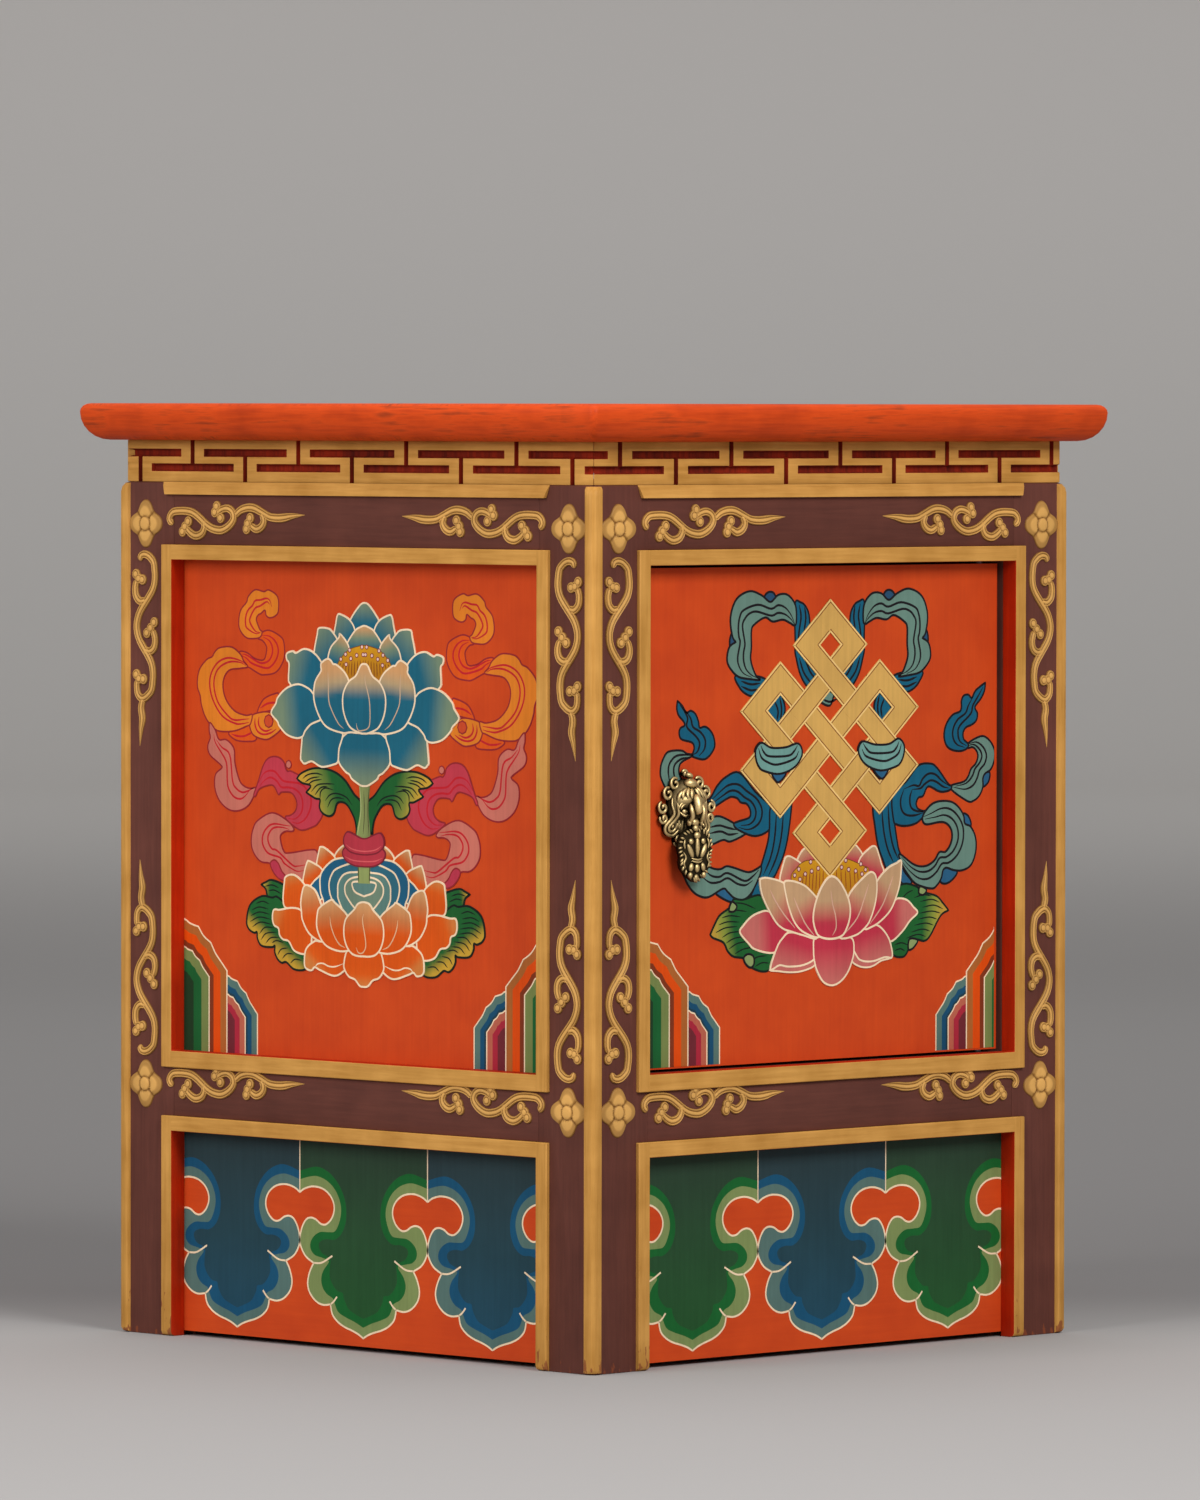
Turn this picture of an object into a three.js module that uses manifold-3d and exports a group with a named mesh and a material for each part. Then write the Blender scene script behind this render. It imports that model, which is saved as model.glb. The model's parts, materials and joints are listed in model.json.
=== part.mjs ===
// Painted pine cabinet on four corner posts, with one pivot-hung door.
// Millimetres, +Z up. The origin is on the floor under the middle of the cabinet.
// The door is in the front, the -Y face; left and right are as seen from the front.

import * as THREE from 'three';
import { mergeVertices } from 'three/addons/utils/BufferGeometryUtils.js';
import Module from 'manifold-3d';

const wasm = await Module();
wasm.setup();

// Driving dimensions of the cabinet
const height = 560;
const bodySide = 405;
const topSide = 440;
const topThickness = 22;
const topCornerRadius = 4;

// Posts
const postSide = 47;
const beadWidth = 8.5;
const beadProud = 2.4;
const beadCornerRadius = 4;
const shoulderDrop = 6;
const shoulderInset = 4;
const footRounding = 3;

// Rails
const railThickness = 24.6;
const topRailHeight = 46.6;
const sillHeight = 171.8;
const midRailHeight = 48.2;
const tenonLength = 18;
const tenonThickness = 10;
const tenonFrontCheek = 12;
const tenonShoulder = 11.6;
const jointClearance = 0.2;

// Fillet frames round the openings
const filletWidth = 9;
const recess = 11;

// Panels and the boards behind them
const panelThickness = 8;
const grooveDepth = 7;
const panelPlay = 0.5;
const panelSideClearance = 0.3;
const plinthGap = 3;
const bottomThickness = 12;
const cleatSide = 15;
const boardClearance = 0.3;

// Frieze with its carved key pattern, and the drip strip under it
const friezeHeight = 25;
const friezeSetback = 4;
const friezeThickness = 18;
const mitreGap = 0.15;
const fretPitch = 92;
const fretBarLength = 72;
const fretBarWidth = 4.6;
const fretStemWidth = 3.4;
const fretDepth = 3;
const fretEdge = 5.3;
const fretBetween = 4.2;
const fretSideShift = -3;
const fretFrontShift = 7;
const dripHeight = 7.6;
const dripProud = 2.5;
const dripCove = 2;
const dripEndSlant = 3;
const blockLeg = 34;
const blockHeight = 18;

// Door, its pivots and its stop
const doorThickness = 18;
const doorHingeGap = 3;
const hingeEdgeRounding = 3;
const doorCloseGap = 1.5;
const doorEndGap = 1.7;
const pinRadius = 3;
const pinInDoor = 14;
const pinInBush = 11.4;
const bushRadius = 5;
const bushLength = 12;
const runningClearance = 0.3;
const fixedClearance = 0.15;
const stopWidth = 8;
const stopDepth = 12;
const stopEndMargin = 8;
const magnetRadius = 3;
const magnetThickness = 4;
const catchHeight = 318;
const strikeWidth = 10;
const strikeHeight = 20;
const strikeThickness = 1.2;

// Handle
const handleInset = 85;
const handleHeight = 325;
const plateThickness = 2.5;
const maskWidth = 28;
const maskHeight = 34;
const maskBulge = 10;
const snoutReach = 17;
const hingeDrop = 8;
const hingeStandoff = 9;
const hingePinRadius = 1;
const knuckleRadius = 2.4;
const knuckleWidth = 6;
const lugWidth = 2.6;
const pendantWidth = 28;
const pendantHeight = 33;
const pendantThickness = 4.6;
const boltRadius = 2;
const boltBlind = 4;
const nutWidth = 7;
const nutThickness = 3.2;
const boltBeyondNut = 1.5;

// Levels and planes that follow from the sizes above
const half = bodySide / 2;
const carcassTop = height - topThickness - friezeHeight;
const friezeTop = carcassTop + friezeHeight;
const lintel = carcassTop - topRailHeight;
const midRailBottom = sillHeight - midRailHeight;
const openingLeft = -half + postSide;
const openingRight = half - postSide;
const panelBack = recess + panelThickness + panelSideClearance;
const railBack = beadProud + railThickness;
const doorFront = -half + recess;
const doorBack = doorFront + doorThickness;
const doorBottom = sillHeight + doorEndGap;
const doorTop = lintel - doorEndGap;
const doorLeft = openingLeft + doorCloseGap;
const doorRight = openingRight - doorHingeGap;
const pivotX = doorRight - doorThickness / 2;
const pivotY = doorFront + doorThickness / 2;
const bottomTop = sillHeight;
const handleX = -half + handleInset;
const hingeY = doorFront - hingeStandoff;
const hingeZ = handleHeight - hingeDrop;

// Paints and metals
const paints = {
  maroon: { color: 0x5a342d, roughness: 0.6, metalness: 0 },
  gold: { color: 0xb58442, roughness: 0.5, metalness: 0.1 },
  vermilion: { color: 0xc24a2b, roughness: 0.55, metalness: 0 },
  pine: { color: 0xb98a58, roughness: 0.7, metalness: 0 },
  brass: { color: 0xb49a5c, roughness: 0.35, metalness: 0.9 },
  steel: { color: 0x8d8f92, roughness: 0.4, metalness: 0.9 },
};

// A closed geometry as a solid that can be joined and cut
function solidOf(geometry) {
  const plain = geometry.index ? geometry.toNonIndexed() : geometry.clone();
  plain.deleteAttribute('normal');
  plain.deleteAttribute('uv');
  const merged = mergeVertices(plain, 1e-4);
  return new wasm.Manifold(new wasm.Mesh({
    numProp: 3,
    vertProperties: new Float32Array(merged.attributes.position.array),
    triVerts: new Uint32Array(merged.index.array),
  }));
}

// A solid back as a geometry
function geometryOf(solid) {
  const mesh = solid.getMesh();
  const geometry = new THREE.BufferGeometry();
  geometry.setAttribute('position', new THREE.BufferAttribute(new Float32Array(mesh.vertProperties), 3));
  geometry.setIndex(new THREE.BufferAttribute(new Uint32Array(mesh.triVerts), 1));
  geometry.computeVertexNormals();
  return geometry;
}

// A box between two corners
function box(x0, x1, y0, y1, z0, z1) {
  const geometry = new THREE.BoxGeometry(x1 - x0, y1 - y0, z1 - z0);
  geometry.translate((x0 + x1) / 2, (y0 + y1) / 2, (z0 + z1) / 2);
  return solidOf(geometry);
}

// A plan outline drawn in X and Y and raised from z0 to z1
function raised(points, z0, z1) {
  const shape = new THREE.Shape(points.map(([x, y]) => new THREE.Vector2(x, y)));
  const geometry = new THREE.ExtrudeGeometry(shape, { depth: z1 - z0, bevelEnabled: false });
  geometry.translate(0, 0, z0);
  return solidOf(geometry);
}

// An outline drawn in X and Z, carried from y0 (nearer the front) to y1
function deepened(shape, y0, y1, curveSegments = 8) {
  const geometry = new THREE.ExtrudeGeometry(shape, { depth: y1 - y0, bevelEnabled: false, curveSegments });
  geometry.rotateX(Math.PI / 2);
  geometry.translate(0, y1, 0);
  return solidOf(geometry);
}

// An outline drawn as [depth, height], carried along the front face from x0 to x1
function moulded(points, x0, x1, slant = 0) {
  const shape = new THREE.Shape(points.map(([depth, z]) => new THREE.Vector2(depth, z)));
  const geometry = new THREE.ExtrudeGeometry(shape, { depth: x1 - x0, bevelEnabled: false });
  const place = geometry.attributes.position;
  const lowest = Math.min(...points.map(([, z]) => z));
  const highest = Math.max(...points.map(([, z]) => z));
  for (let i = 0; i < place.count; i += 1) {
    const depth = place.getX(i);
    const z = place.getY(i);
    const along = place.getZ(i);
    const cutBack = slant * (highest - z) / (highest - lowest);
    const x = along > 0 ? x1 - cutBack : x0 + cutBack;
    place.setXYZ(i, x, -half + depth, z);
  }
  return solidOf(geometry);
}

// An upright cylinder
function upright(x, y, z0, z1, radius, sides = 24) {
  const geometry = new THREE.CylinderGeometry(radius, radius, z1 - z0, sides);
  geometry.rotateX(Math.PI / 2);
  geometry.translate(x, y, (z0 + z1) / 2);
  return solidOf(geometry);
}

// A cylinder that runs from the front towards the back
function level(x, z, y0, y1, radius, sides = 24) {
  const geometry = new THREE.CylinderGeometry(radius, radius, y1 - y0, sides);
  geometry.translate(x, (y0 + y1) / 2, z);
  return solidOf(geometry);
}

// A cylinder that runs across, along X
function across(x0, x1, y, z, radius, sides = 16) {
  const geometry = new THREE.CylinderGeometry(radius, radius, x1 - x0, sides);
  geometry.rotateZ(Math.PI / 2);
  geometry.translate((x0 + x1) / 2, y, z);
  return solidOf(geometry);
}

// An egg-shaped swelling
function swelling(x, y, z, rx, ry, rz, rows = 8, columns = 14) {
  const geometry = new THREE.SphereGeometry(1, columns, rows);
  geometry.scale(rx, ry, rz);
  geometry.translate(x, y, z);
  return solidOf(geometry);
}

// A square block whose sides follow a profile of [inset, height] pairs, with rounded upright corners
function squareBlock(side, profile, cornerRadius, steps = 3) {
  const rings = profile.map(([inset, z]) => {
    const reach = side / 2 - inset - cornerRadius;
    const ring = [];
    for (let corner = 0; corner < 4; corner += 1) {
      const turn = corner * Math.PI / 2;
      const cx = Math.round(Math.cos(turn) - Math.sin(turn)) * reach;
      const cy = Math.round(Math.sin(turn) + Math.cos(turn)) * reach;
      for (let step = 0; step <= steps; step += 1) {
        const angle = turn + step * Math.PI / 2 / steps;
        ring.push([cx + cornerRadius * Math.cos(angle), cy + cornerRadius * Math.sin(angle), z]);
      }
    }
    return ring;
  });
  const count = rings[0].length;
  const top = rings.length - 1;
  const vertices = rings.flat();
  const triangles = [];
  for (let row = 0; row < top; row += 1) {
    for (let i = 0; i < count; i += 1) {
      const next = (i + 1) % count;
      const a = row * count + i;
      const b = row * count + next;
      triangles.push(a, b, b + count, a, b + count, a + count);
    }
  }
  for (let i = 1; i < count - 1; i += 1) {
    triangles.push(0, i + 1, i);
    triangles.push(top * count, top * count + i, top * count + i + 1);
  }
  const geometry = new THREE.BufferGeometry();
  geometry.setAttribute('position', new THREE.BufferAttribute(new Float32Array(vertices.flat()), 3));
  geometry.setIndex(triangles);
  return solidOf(geometry);
}

const cabinet = new THREE.Group();
cabinet.name = 'cabinet';

// One named piece; turns counts quarter turns about the middle of the cabinet
function piece(name, solid, paint, turns = 0, parent = cabinet) {
  const mesh = new THREE.Mesh(geometryOf(solid), new THREE.MeshStandardMaterial(paint));
  mesh.name = name;
  mesh.rotation.z = turns * Math.PI / 2;
  parent.add(mesh);
}

// Posts. A face's number is its quarter turns from the front: 0 front, 1 right, 2 back, 3 left
const faces = ['front', 'right', 'back', 'left'];
const hasFillets = [true, true, false, true];
const hasUpperPanel = [false, true, true, true];
const corners = ['front_left', 'front_right', 'back_right', 'back_left'];

function beadQuarter() {
  const lip = 0.9;
  const points = [[beadWidth, beadProud], [beadWidth - 0.3, lip], [beadWidth - 1.4, 0]];
  const steps = 5;
  for (let step = 0; step <= steps; step += 1) {
    const angle = -Math.PI / 2 - step * Math.PI / 2 / steps;
    const x = beadCornerRadius + beadCornerRadius * Math.cos(angle);
    const y = beadCornerRadius + beadCornerRadius * Math.sin(angle);
    points.push([x, y]);
  }
  points.push([0, beadWidth - 1.4], [lip, beadWidth - 0.3], [beadProud, beadWidth]);
  return points;
}

const envelope = squareBlock(bodySide, [
  [footRounding, 0],
  [footRounding * 0.3, footRounding * 0.3],
  [0, footRounding],
  [0, carcassTop - shoulderDrop],
  [shoulderInset * 0.13, carcassTop - shoulderDrop * 0.5],
  [shoulderInset * 0.5, carcassTop - shoulderDrop * 0.13],
  [shoulderInset, carcassTop],
], footRounding + 1);

// What a face takes out of the post at its left end, drawn at the corner: a runs along the face
// and b goes in from it
function faceCuts(face, swapped) {
  const cuts = [];
  const cut = (a0, a1, b0, b1, z0, z1) => {
    const [x0, x1, y0, y1] = swapped ? [b0, b1, a0, a1] : [a0, a1, b0, b1];
    cuts.push(box(-half + x0, -half + x1, -half + y0, -half + y1, z0, z1));
  };
  const inner = postSide - filletWidth;
  if (hasFillets[face]) {
    cut(inner, postSide + 1, -1, recess, sillHeight - filletWidth - 1, lintel + filletWidth);
    cut(inner, postSide + 1, -1, recess, -1, midRailBottom + filletWidth);
  }
  if (hasUpperPanel[face]) {
    cut(postSide - grooveDepth, postSide + 1, recess, panelBack, sillHeight - grooveDepth, lintel + grooveDepth);
  }
  cut(postSide - grooveDepth, postSide + 1, recess, panelBack, -1, midRailBottom + grooveDepth);
  for (const [low, high] of [[lintel, carcassTop], [midRailBottom, sillHeight]]) {
    cut(
      postSide - tenonLength - jointClearance,
      postSide + 1,
      tenonFrontCheek - jointClearance,
      tenonFrontCheek + tenonThickness + jointClearance,
      low + tenonShoulder - jointClearance,
      high - tenonShoulder + jointClearance,
    );
  }
  return cuts;
}

function post(corner) {
  const section = [...beadQuarter(), [beadProud, postSide], [postSide, postSide], [postSide, beadProud]];
  let solid = raised(section.map(([a, b]) => [a - half, b - half]), 0, carcassTop);
  solid = solid.intersect(envelope);
  const nextFace = (corner + 3) % 4;
  for (const cut of [...faceCuts(corner, false), ...faceCuts(nextFace, true)]) {
    solid = solid.subtract(cut);
  }
  return solid;
}

corners.forEach((name, corner) => {
  piece(`post_${name}`, post(corner), paints.maroon, corner);
});

// Rails between the posts, with a tenon on each end
function railBlank(low, high) {
  const rail = box(openingLeft, openingRight, -half + beadProud, -half + railBack, low, high);
  const tenons = box(
    openingLeft - tenonLength,
    openingRight + tenonLength,
    -half + tenonFrontCheek,
    -half + tenonFrontCheek + tenonThickness,
    low + tenonShoulder,
    high - tenonShoulder,
  );
  return rail.add(tenons);
}

// A cut along the whole rail between two depths and two heights
function alongRail(depth0, depth1, z0, z1) {
  return box(openingLeft - 1, openingRight + 1, -half + depth0, -half + depth1, z0, z1);
}

function bushHole(z0, z1) {
  return upright(pivotX, pivotY, z0, z1, bushRadius + fixedClearance);
}

function topRail(face) {
  let rail = railBlank(lintel, carcassTop);
  if (hasFillets[face]) {
    rail = rail.subtract(alongRail(0, recess, lintel - 1, lintel + filletWidth));
  }
  if (hasUpperPanel[face]) {
    rail = rail.subtract(alongRail(recess, panelBack, lintel - 1, lintel + grooveDepth));
  } else {
    rail = rail.subtract(bushHole(lintel - 1, lintel + bushLength));
  }
  return rail;
}

function midRail(face) {
  let rail = railBlank(midRailBottom, sillHeight);
  if (hasFillets[face]) {
    rail = rail.subtract(alongRail(0, recess, sillHeight - filletWidth - 1, sillHeight + 1));
    rail = rail.subtract(alongRail(0, recess, midRailBottom - 1, midRailBottom + filletWidth));
  }
  if (hasUpperPanel[face]) {
    rail = rail.subtract(alongRail(recess, panelBack, sillHeight - grooveDepth, sillHeight + 1));
  } else {
    rail = rail.subtract(bushHole(sillHeight - bushLength, sillHeight + 1));
  }
  return rail.subtract(alongRail(recess, panelBack, midRailBottom - 1, midRailBottom + grooveDepth));
}

faces.forEach((name, face) => {
  piece(`top_rail_${name}`, topRail(face), paints.maroon, face);
  piece(`mid_rail_${name}`, midRail(face), paints.maroon, face);
});

// Fillet frames that stand proud round each opening and hold the panels back
function filletFrame(low, high, openBelow) {
  const outerLeft = openingLeft - filletWidth;
  const outerRight = openingRight + filletWidth;
  const outerLow = openBelow ? low : low - filletWidth - 1;
  const whole = box(outerLeft, outerRight, -half, -half + recess, outerLow, high + filletWidth);
  const opening = box(openingLeft, openingRight, -half - 1, -half + recess + 1, openBelow ? low - 1 : low, high);
  return whole.subtract(opening);
}

faces.forEach((name, face) => {
  if (hasFillets[face]) {
    piece(`upper_fillet_${name}`, filletFrame(sillHeight, lintel, false), paints.gold, face);
    piece(`lower_fillet_${name}`, filletFrame(0, midRailBottom, true).intersect(envelope), paints.gold, face);
  }
});

// Panels held in the grooves behind the fillets
function panel(low, high) {
  return box(
    openingLeft - grooveDepth + panelPlay,
    openingRight + grooveDepth - panelPlay,
    -half + recess,
    -half + recess + panelThickness,
    low,
    high,
  );
}

const upperPanel = panel(sillHeight - grooveDepth + panelPlay, lintel + grooveDepth - panelPlay);
const lowerPanel = panel(plinthGap, midRailBottom + grooveDepth - panelPlay);
piece('side_panel_right', upperPanel, paints.vermilion, 1);
piece('back_panel', upperPanel, paints.vermilion, 2);
piece('side_panel_left', upperPanel, paints.vermilion, 3);
faces.forEach((name, face) => {
  piece(`lower_panel_${name}`, lowerPanel, paints.vermilion, face);
});

// Cupboard floor on two cleats, notched round the posts
const boardReach = half - railBack - boardClearance;
const notch = half - postSide - boardClearance;
let bottomBoard = box(-boardReach, boardReach, -boardReach, boardReach, bottomTop - bottomThickness, bottomTop);
for (const sx of [-1, 1]) {
  for (const sy of [-1, 1]) {
    const xs = [sx * notch, sx * (boardReach + 1)].sort((p, q) => p - q);
    const ys = [sy * notch, sy * (boardReach + 1)].sort((p, q) => p - q);
    const corner = box(xs[0], xs[1], ys[0], ys[1], bottomTop - bottomThickness - 1, bottomTop + 1);
    bottomBoard = bottomBoard.subtract(corner);
  }
}
piece('bottom_board', bottomBoard, paints.pine);
const cleat = box(
  openingLeft + boardClearance,
  openingRight - boardClearance,
  -half + railBack,
  -half + railBack + cleatSide,
  bottomTop - bottomThickness - cleatSide,
  bottomTop - bottomThickness,
);
piece('bottom_cleat_right', cleat, paints.pine, 1);
piece('bottom_cleat_left', cleat, paints.pine, 3);

// Frieze boards, mitred at the corners, with a key pattern of interlocked tees cut into them
function friezeBlank() {
  const outer = half - friezeSetback - mitreGap;
  const inner = outer - friezeThickness;
  const front = -half + friezeSetback;
  const plan = [[-outer, front], [outer, front], [inner, front + friezeThickness], [-inner, front + friezeThickness]];
  return raised(plan, carcassTop, friezeTop);
}

// A groove with sloped walls: wide at the face, narrow at its floor
function grooveCutter(x0, x1, z0, z1) {
  const slope = 0.28;
  const front = -half + friezeSetback;
  const lift = 0.5;
  const geometry = new THREE.BoxGeometry(1, 1, 1);
  const place = geometry.attributes.position;
  for (let i = 0; i < place.count; i += 1) {
    const outside = place.getY(i) < 0;
    const grow = outside ? lift * slope : -fretDepth * slope;
    const x = place.getX(i) < 0 ? x0 - grow : x1 + grow;
    const z = place.getZ(i) < 0 ? z0 - grow : z1 + grow;
    place.setXYZ(i, x, outside ? front - lift : front + fretDepth, z);
  }
  return solidOf(geometry);
}

function fret(board, shift) {
  const upper = friezeTop - fretEdge;
  const upperLow = upper - fretBarWidth;
  const lower = upperLow - fretBetween;
  const lowerLow = lower - fretBarWidth;
  const count = Math.ceil(half / fretPitch) + 1;
  let carved = board;
  for (let i = -count; i <= count; i += 1) {
    const hanging = shift + i * fretPitch;
    const standing = hanging + fretPitch / 2;
    const bars = [
      grooveCutter(hanging - fretBarLength / 2, hanging + fretBarLength / 2, upperLow, upper),
      grooveCutter(hanging - fretStemWidth / 2, hanging + fretStemWidth / 2, carcassTop - 1, upperLow + 1),
      grooveCutter(standing - fretBarLength / 2, standing + fretBarLength / 2, lowerLow, lower),
      grooveCutter(standing - fretStemWidth / 2, standing + fretStemWidth / 2, lower - 1, friezeTop + 1),
    ];
    for (const bar of bars) {
      carved = carved.subtract(bar);
    }
  }
  return carved;
}

piece('frieze_front', fret(friezeBlank(), fretFrontShift - fretPitch / 2), paints.gold, 0);
piece('frieze_right', fret(friezeBlank(), fretSideShift), paints.gold, 1);
piece('frieze_back', friezeBlank(), paints.gold, 2);
piece('frieze_left', fret(friezeBlank(), fretSideShift), paints.gold, 3);

// Drip strips under the frieze
const dripSection = [
  [beadProud, carcassTop - dripHeight],
  [beadProud - dripProud, carcassTop - dripHeight],
  [beadProud - dripProud * 0.8, carcassTop - dripHeight * 0.6],
  [beadProud - dripProud * 0.55, carcassTop - dripCove],
  [beadProud - dripProud * 0.2, carcassTop - dripCove * 0.35],
  [beadProud - dripProud * 0.14, carcassTop],
  [beadProud, carcassTop],
];
const drip = moulded(dripSection.reverse(), openingLeft - filletWidth, openingRight + filletWidth, dripEndSlant);
faces.forEach((name, face) => {
  if (hasFillets[face]) {
    piece(`drip_strip_${name}`, drip, paints.gold, face);
  }
});

// Glue blocks in the corners under the top
const blockCorner = -half + friezeSetback + friezeThickness + mitreGap;
const blockPlan = [[blockCorner, blockCorner], [blockCorner + blockLeg, blockCorner], [blockCorner, blockCorner + blockLeg]];
const block = raised(blockPlan, friezeTop - blockHeight, friezeTop);
corners.forEach((name, corner) => {
  piece(`corner_block_${name}`, block, paints.pine, corner);
});

// Table top: a small round over above, a quarter of an ellipse undercut below
function tabletop() {
  const roundOver = 4.9;
  const undercutHeight = 17;
  const undercutRun = 13;
  const profile = [];
  const steps = 6;
  for (let step = 0; step <= steps; step += 1) {
    const angle = step * Math.PI / 2 / steps;
    profile.push([undercutRun * (1 - Math.sin(angle)), friezeTop + undercutHeight * (1 - Math.cos(angle))]);
  }
  for (let step = 1; step <= 4; step += 1) {
    const angle = step * Math.PI / 8;
    profile.push([roundOver * (1 - Math.cos(angle)), height - roundOver * (1 - Math.sin(angle))]);
  }
  return squareBlock(topSide, profile, topCornerRadius);
}
piece('tabletop', tabletop(), paints.vermilion);

// Door that turns on two pins; its hinge edge is rounded so that it clears the jamb as it turns
function doorPanel() {
  const plan = [[doorLeft, doorBack], [doorLeft, doorFront]];
  const steps = 4;
  for (const side of [-1, 1]) {
    for (let step = 0; step <= steps; step += 1) {
      const angle = (side < 0 ? -Math.PI / 2 : 0) + step * Math.PI / 2 / steps;
      const cx = doorRight - hingeEdgeRounding;
      const cy = side < 0 ? doorFront + hingeEdgeRounding : doorBack - hingeEdgeRounding;
      plan.push([cx + hingeEdgeRounding * Math.cos(angle), cy + hingeEdgeRounding * Math.sin(angle)]);
    }
  }
  let door = raised(plan, doorBottom, doorTop);
  const hole = pinRadius + fixedClearance;
  door = door.subtract(upright(pivotX, pivotY, doorBottom - 1, doorBottom + pinInDoor, hole));
  door = door.subtract(upright(pivotX, pivotY, doorTop - pinInDoor, doorTop + 1, hole));
  door = door.subtract(level(handleX, handleHeight, doorFront - 1, doorBack + 1, boltRadius + fixedClearance, 16));
  const pocket = box(
    strikeLeft - fixedClearance,
    strikeLeft + strikeWidth + fixedClearance,
    doorBack - strikeThickness,
    doorBack + 1,
    catchHeight - strikeHeight / 2 - fixedClearance,
    catchHeight + strikeHeight / 2 + fixedClearance,
  );
  return door.subtract(pocket);
}
const strikeLeft = doorLeft + 1;
piece('door_panel', doorPanel(), paints.vermilion);

function pivotPin(z0, z1) {
  return upright(pivotX, pivotY, z0, z1, pinRadius);
}
piece('upper_pivot_pin', pivotPin(doorTop - pinInDoor + fixedClearance, lintel + pinInBush), paints.steel);
piece('lower_pivot_pin', pivotPin(sillHeight - pinInBush, doorBottom + pinInDoor - fixedClearance), paints.steel);

function pivotBush(z0, z1) {
  const bore = upright(pivotX, pivotY, z0 - 1, z1 + 1, pinRadius + runningClearance);
  return upright(pivotX, pivotY, z0, z1, bushRadius).subtract(bore);
}
piece('upper_pivot_bush', pivotBush(lintel, lintel + bushLength), paints.brass);
piece('lower_pivot_bush', pivotBush(sillHeight - bushLength, sillHeight), paints.brass);

// Stop strip on the left post, with a small magnet that meets a strike plate let into the door
const stopFront = doorBack + runningClearance;
const magnetX = openingLeft + stopWidth / 2;
const stopStrip = box(
  openingLeft,
  openingLeft + stopWidth,
  stopFront,
  stopFront + stopDepth,
  sillHeight + stopEndMargin,
  lintel - stopEndMargin,
);
const magnetHole = level(
  magnetX, catchHeight, stopFront - 1, stopFront + magnetThickness + fixedClearance, magnetRadius + fixedClearance, 20,
);
piece('door_stop_strip', stopStrip.subtract(magnetHole), paints.pine);
piece('catch_magnet', level(magnetX, catchHeight, stopFront, stopFront + magnetThickness, magnetRadius, 20), paints.steel);
piece('strike_plate', box(
  strikeLeft,
  strikeLeft + strikeWidth,
  doorBack - strikeThickness,
  doorBack,
  catchHeight - strikeHeight / 2,
  catchHeight + strikeHeight / 2,
), paints.steel);

// Handle: a beast mask with curls round it, and a pendant that hangs from its jaw
// Each curl is [distance across from the middle, height above the middle, radius]
const curls = [[17, 7.5, 4], [19, 0.5, 3.5], [18.5, -5.5, 3.4], [10.5, 13.5, 4.2], [11.5, -12, 7], [7, -18.5, 3.6]];
const crownHeight = 18.5;
const crownRadius = 4;

function handleBackplate() {
  const front = doorFront - plateThickness;
  const disc = new THREE.Shape();
  disc.absellipse(handleX, handleHeight, maskWidth / 2 + 2, maskHeight / 2 + 1, 0, Math.PI * 2);
  let plate = deepened(disc, front, doorFront, 12);
  const middle = [];
  middle.push(level(handleX, handleHeight + crownHeight, front - 1.5, doorFront, crownRadius, 14));
  for (const [across0, up, radius] of curls) {
    for (const side of [-1, 1]) {
      middle.push(level(handleX + side * across0, handleHeight + up, front - 1.2, doorFront, radius, 14));
    }
  }
  const face = swelling(handleX, front, handleHeight + 1, maskWidth / 2, maskBulge, maskHeight / 2);
  const brow = swelling(handleX, front - maskBulge + 3, handleHeight + 9, maskWidth / 2 - 3, 4, 3.4);
  const snoutMiddle = front - (snoutReach - plateThickness) / 2 - 2;
  const snout = swelling(handleX, snoutMiddle, handleHeight + 1, 5.6, snoutReach - plateThickness - 6.5, 4.2);
  middle.push(face, brow, snout);
  for (const side of [-1, 1]) {
    middle.push(swelling(handleX + side * 7, front - maskBulge + 2.5, handleHeight + 2.5, 3.2, 3.4, 2.6, 6, 10));
  }
  for (const form of middle) {
    plate = plate.add(form);
  }
  plate = plate.intersect(box(handleX - 40, handleX + 40, doorFront - snoutReach, doorFront, 0, height));
  const knuckleRoom = knuckleWidth / 2 + runningClearance;
  const sweep = pendantThickness / 2 + knuckleRadius + 1;
  const room = box(handleX - 40, handleX + 40, doorFront - snoutReach - 1, front, hingeZ - 30, hingeZ + sweep - 1.2);
  plate = plate.subtract(room);
  for (const side of [-1, 1]) {
    const x0 = side > 0 ? handleX + knuckleRoom : handleX - knuckleRoom - lugWidth;
    const lug = box(x0, x0 + lugWidth, hingeY - knuckleRadius, front + 0.5, hingeZ - knuckleRadius, hingeZ + sweep);
    plate = plate.add(lug);
  }
  const bore = hingePinRadius + fixedClearance;
  const reach = knuckleRoom + lugWidth + 1;
  plate = plate.subtract(across(handleX - reach, handleX + reach, hingeY, hingeZ, bore));
  return plate.subtract(level(handleX, handleHeight, doorFront - boltBlind, doorFront + 1, boltRadius + fixedClearance, 16));
}
piece('handle_backplate', handleBackplate(), paints.brass);

const boltEnd = doorBack + nutThickness + boltBeyondNut;
const boltStart = doorFront - boltBlind + fixedClearance;
piece('handle_bolt', level(handleX, handleHeight, boltStart, boltEnd, boltRadius, 16), paints.steel);
const nutBlank = level(handleX, handleHeight, doorBack, doorBack + nutThickness, nutWidth / Math.sqrt(3), 6);
const nutBore = level(handleX, handleHeight, doorBack - 1, boltEnd + 1, boltRadius + fixedClearance, 16);
piece('handle_nut', nutBlank.subtract(nutBore), paints.steel);

const pinReach = knuckleWidth / 2 + runningClearance + lugWidth;
piece('pendant_pin', across(handleX - pinReach, handleX + pinReach, hingeY, hingeZ, hingePinRadius), paints.brass);

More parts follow.
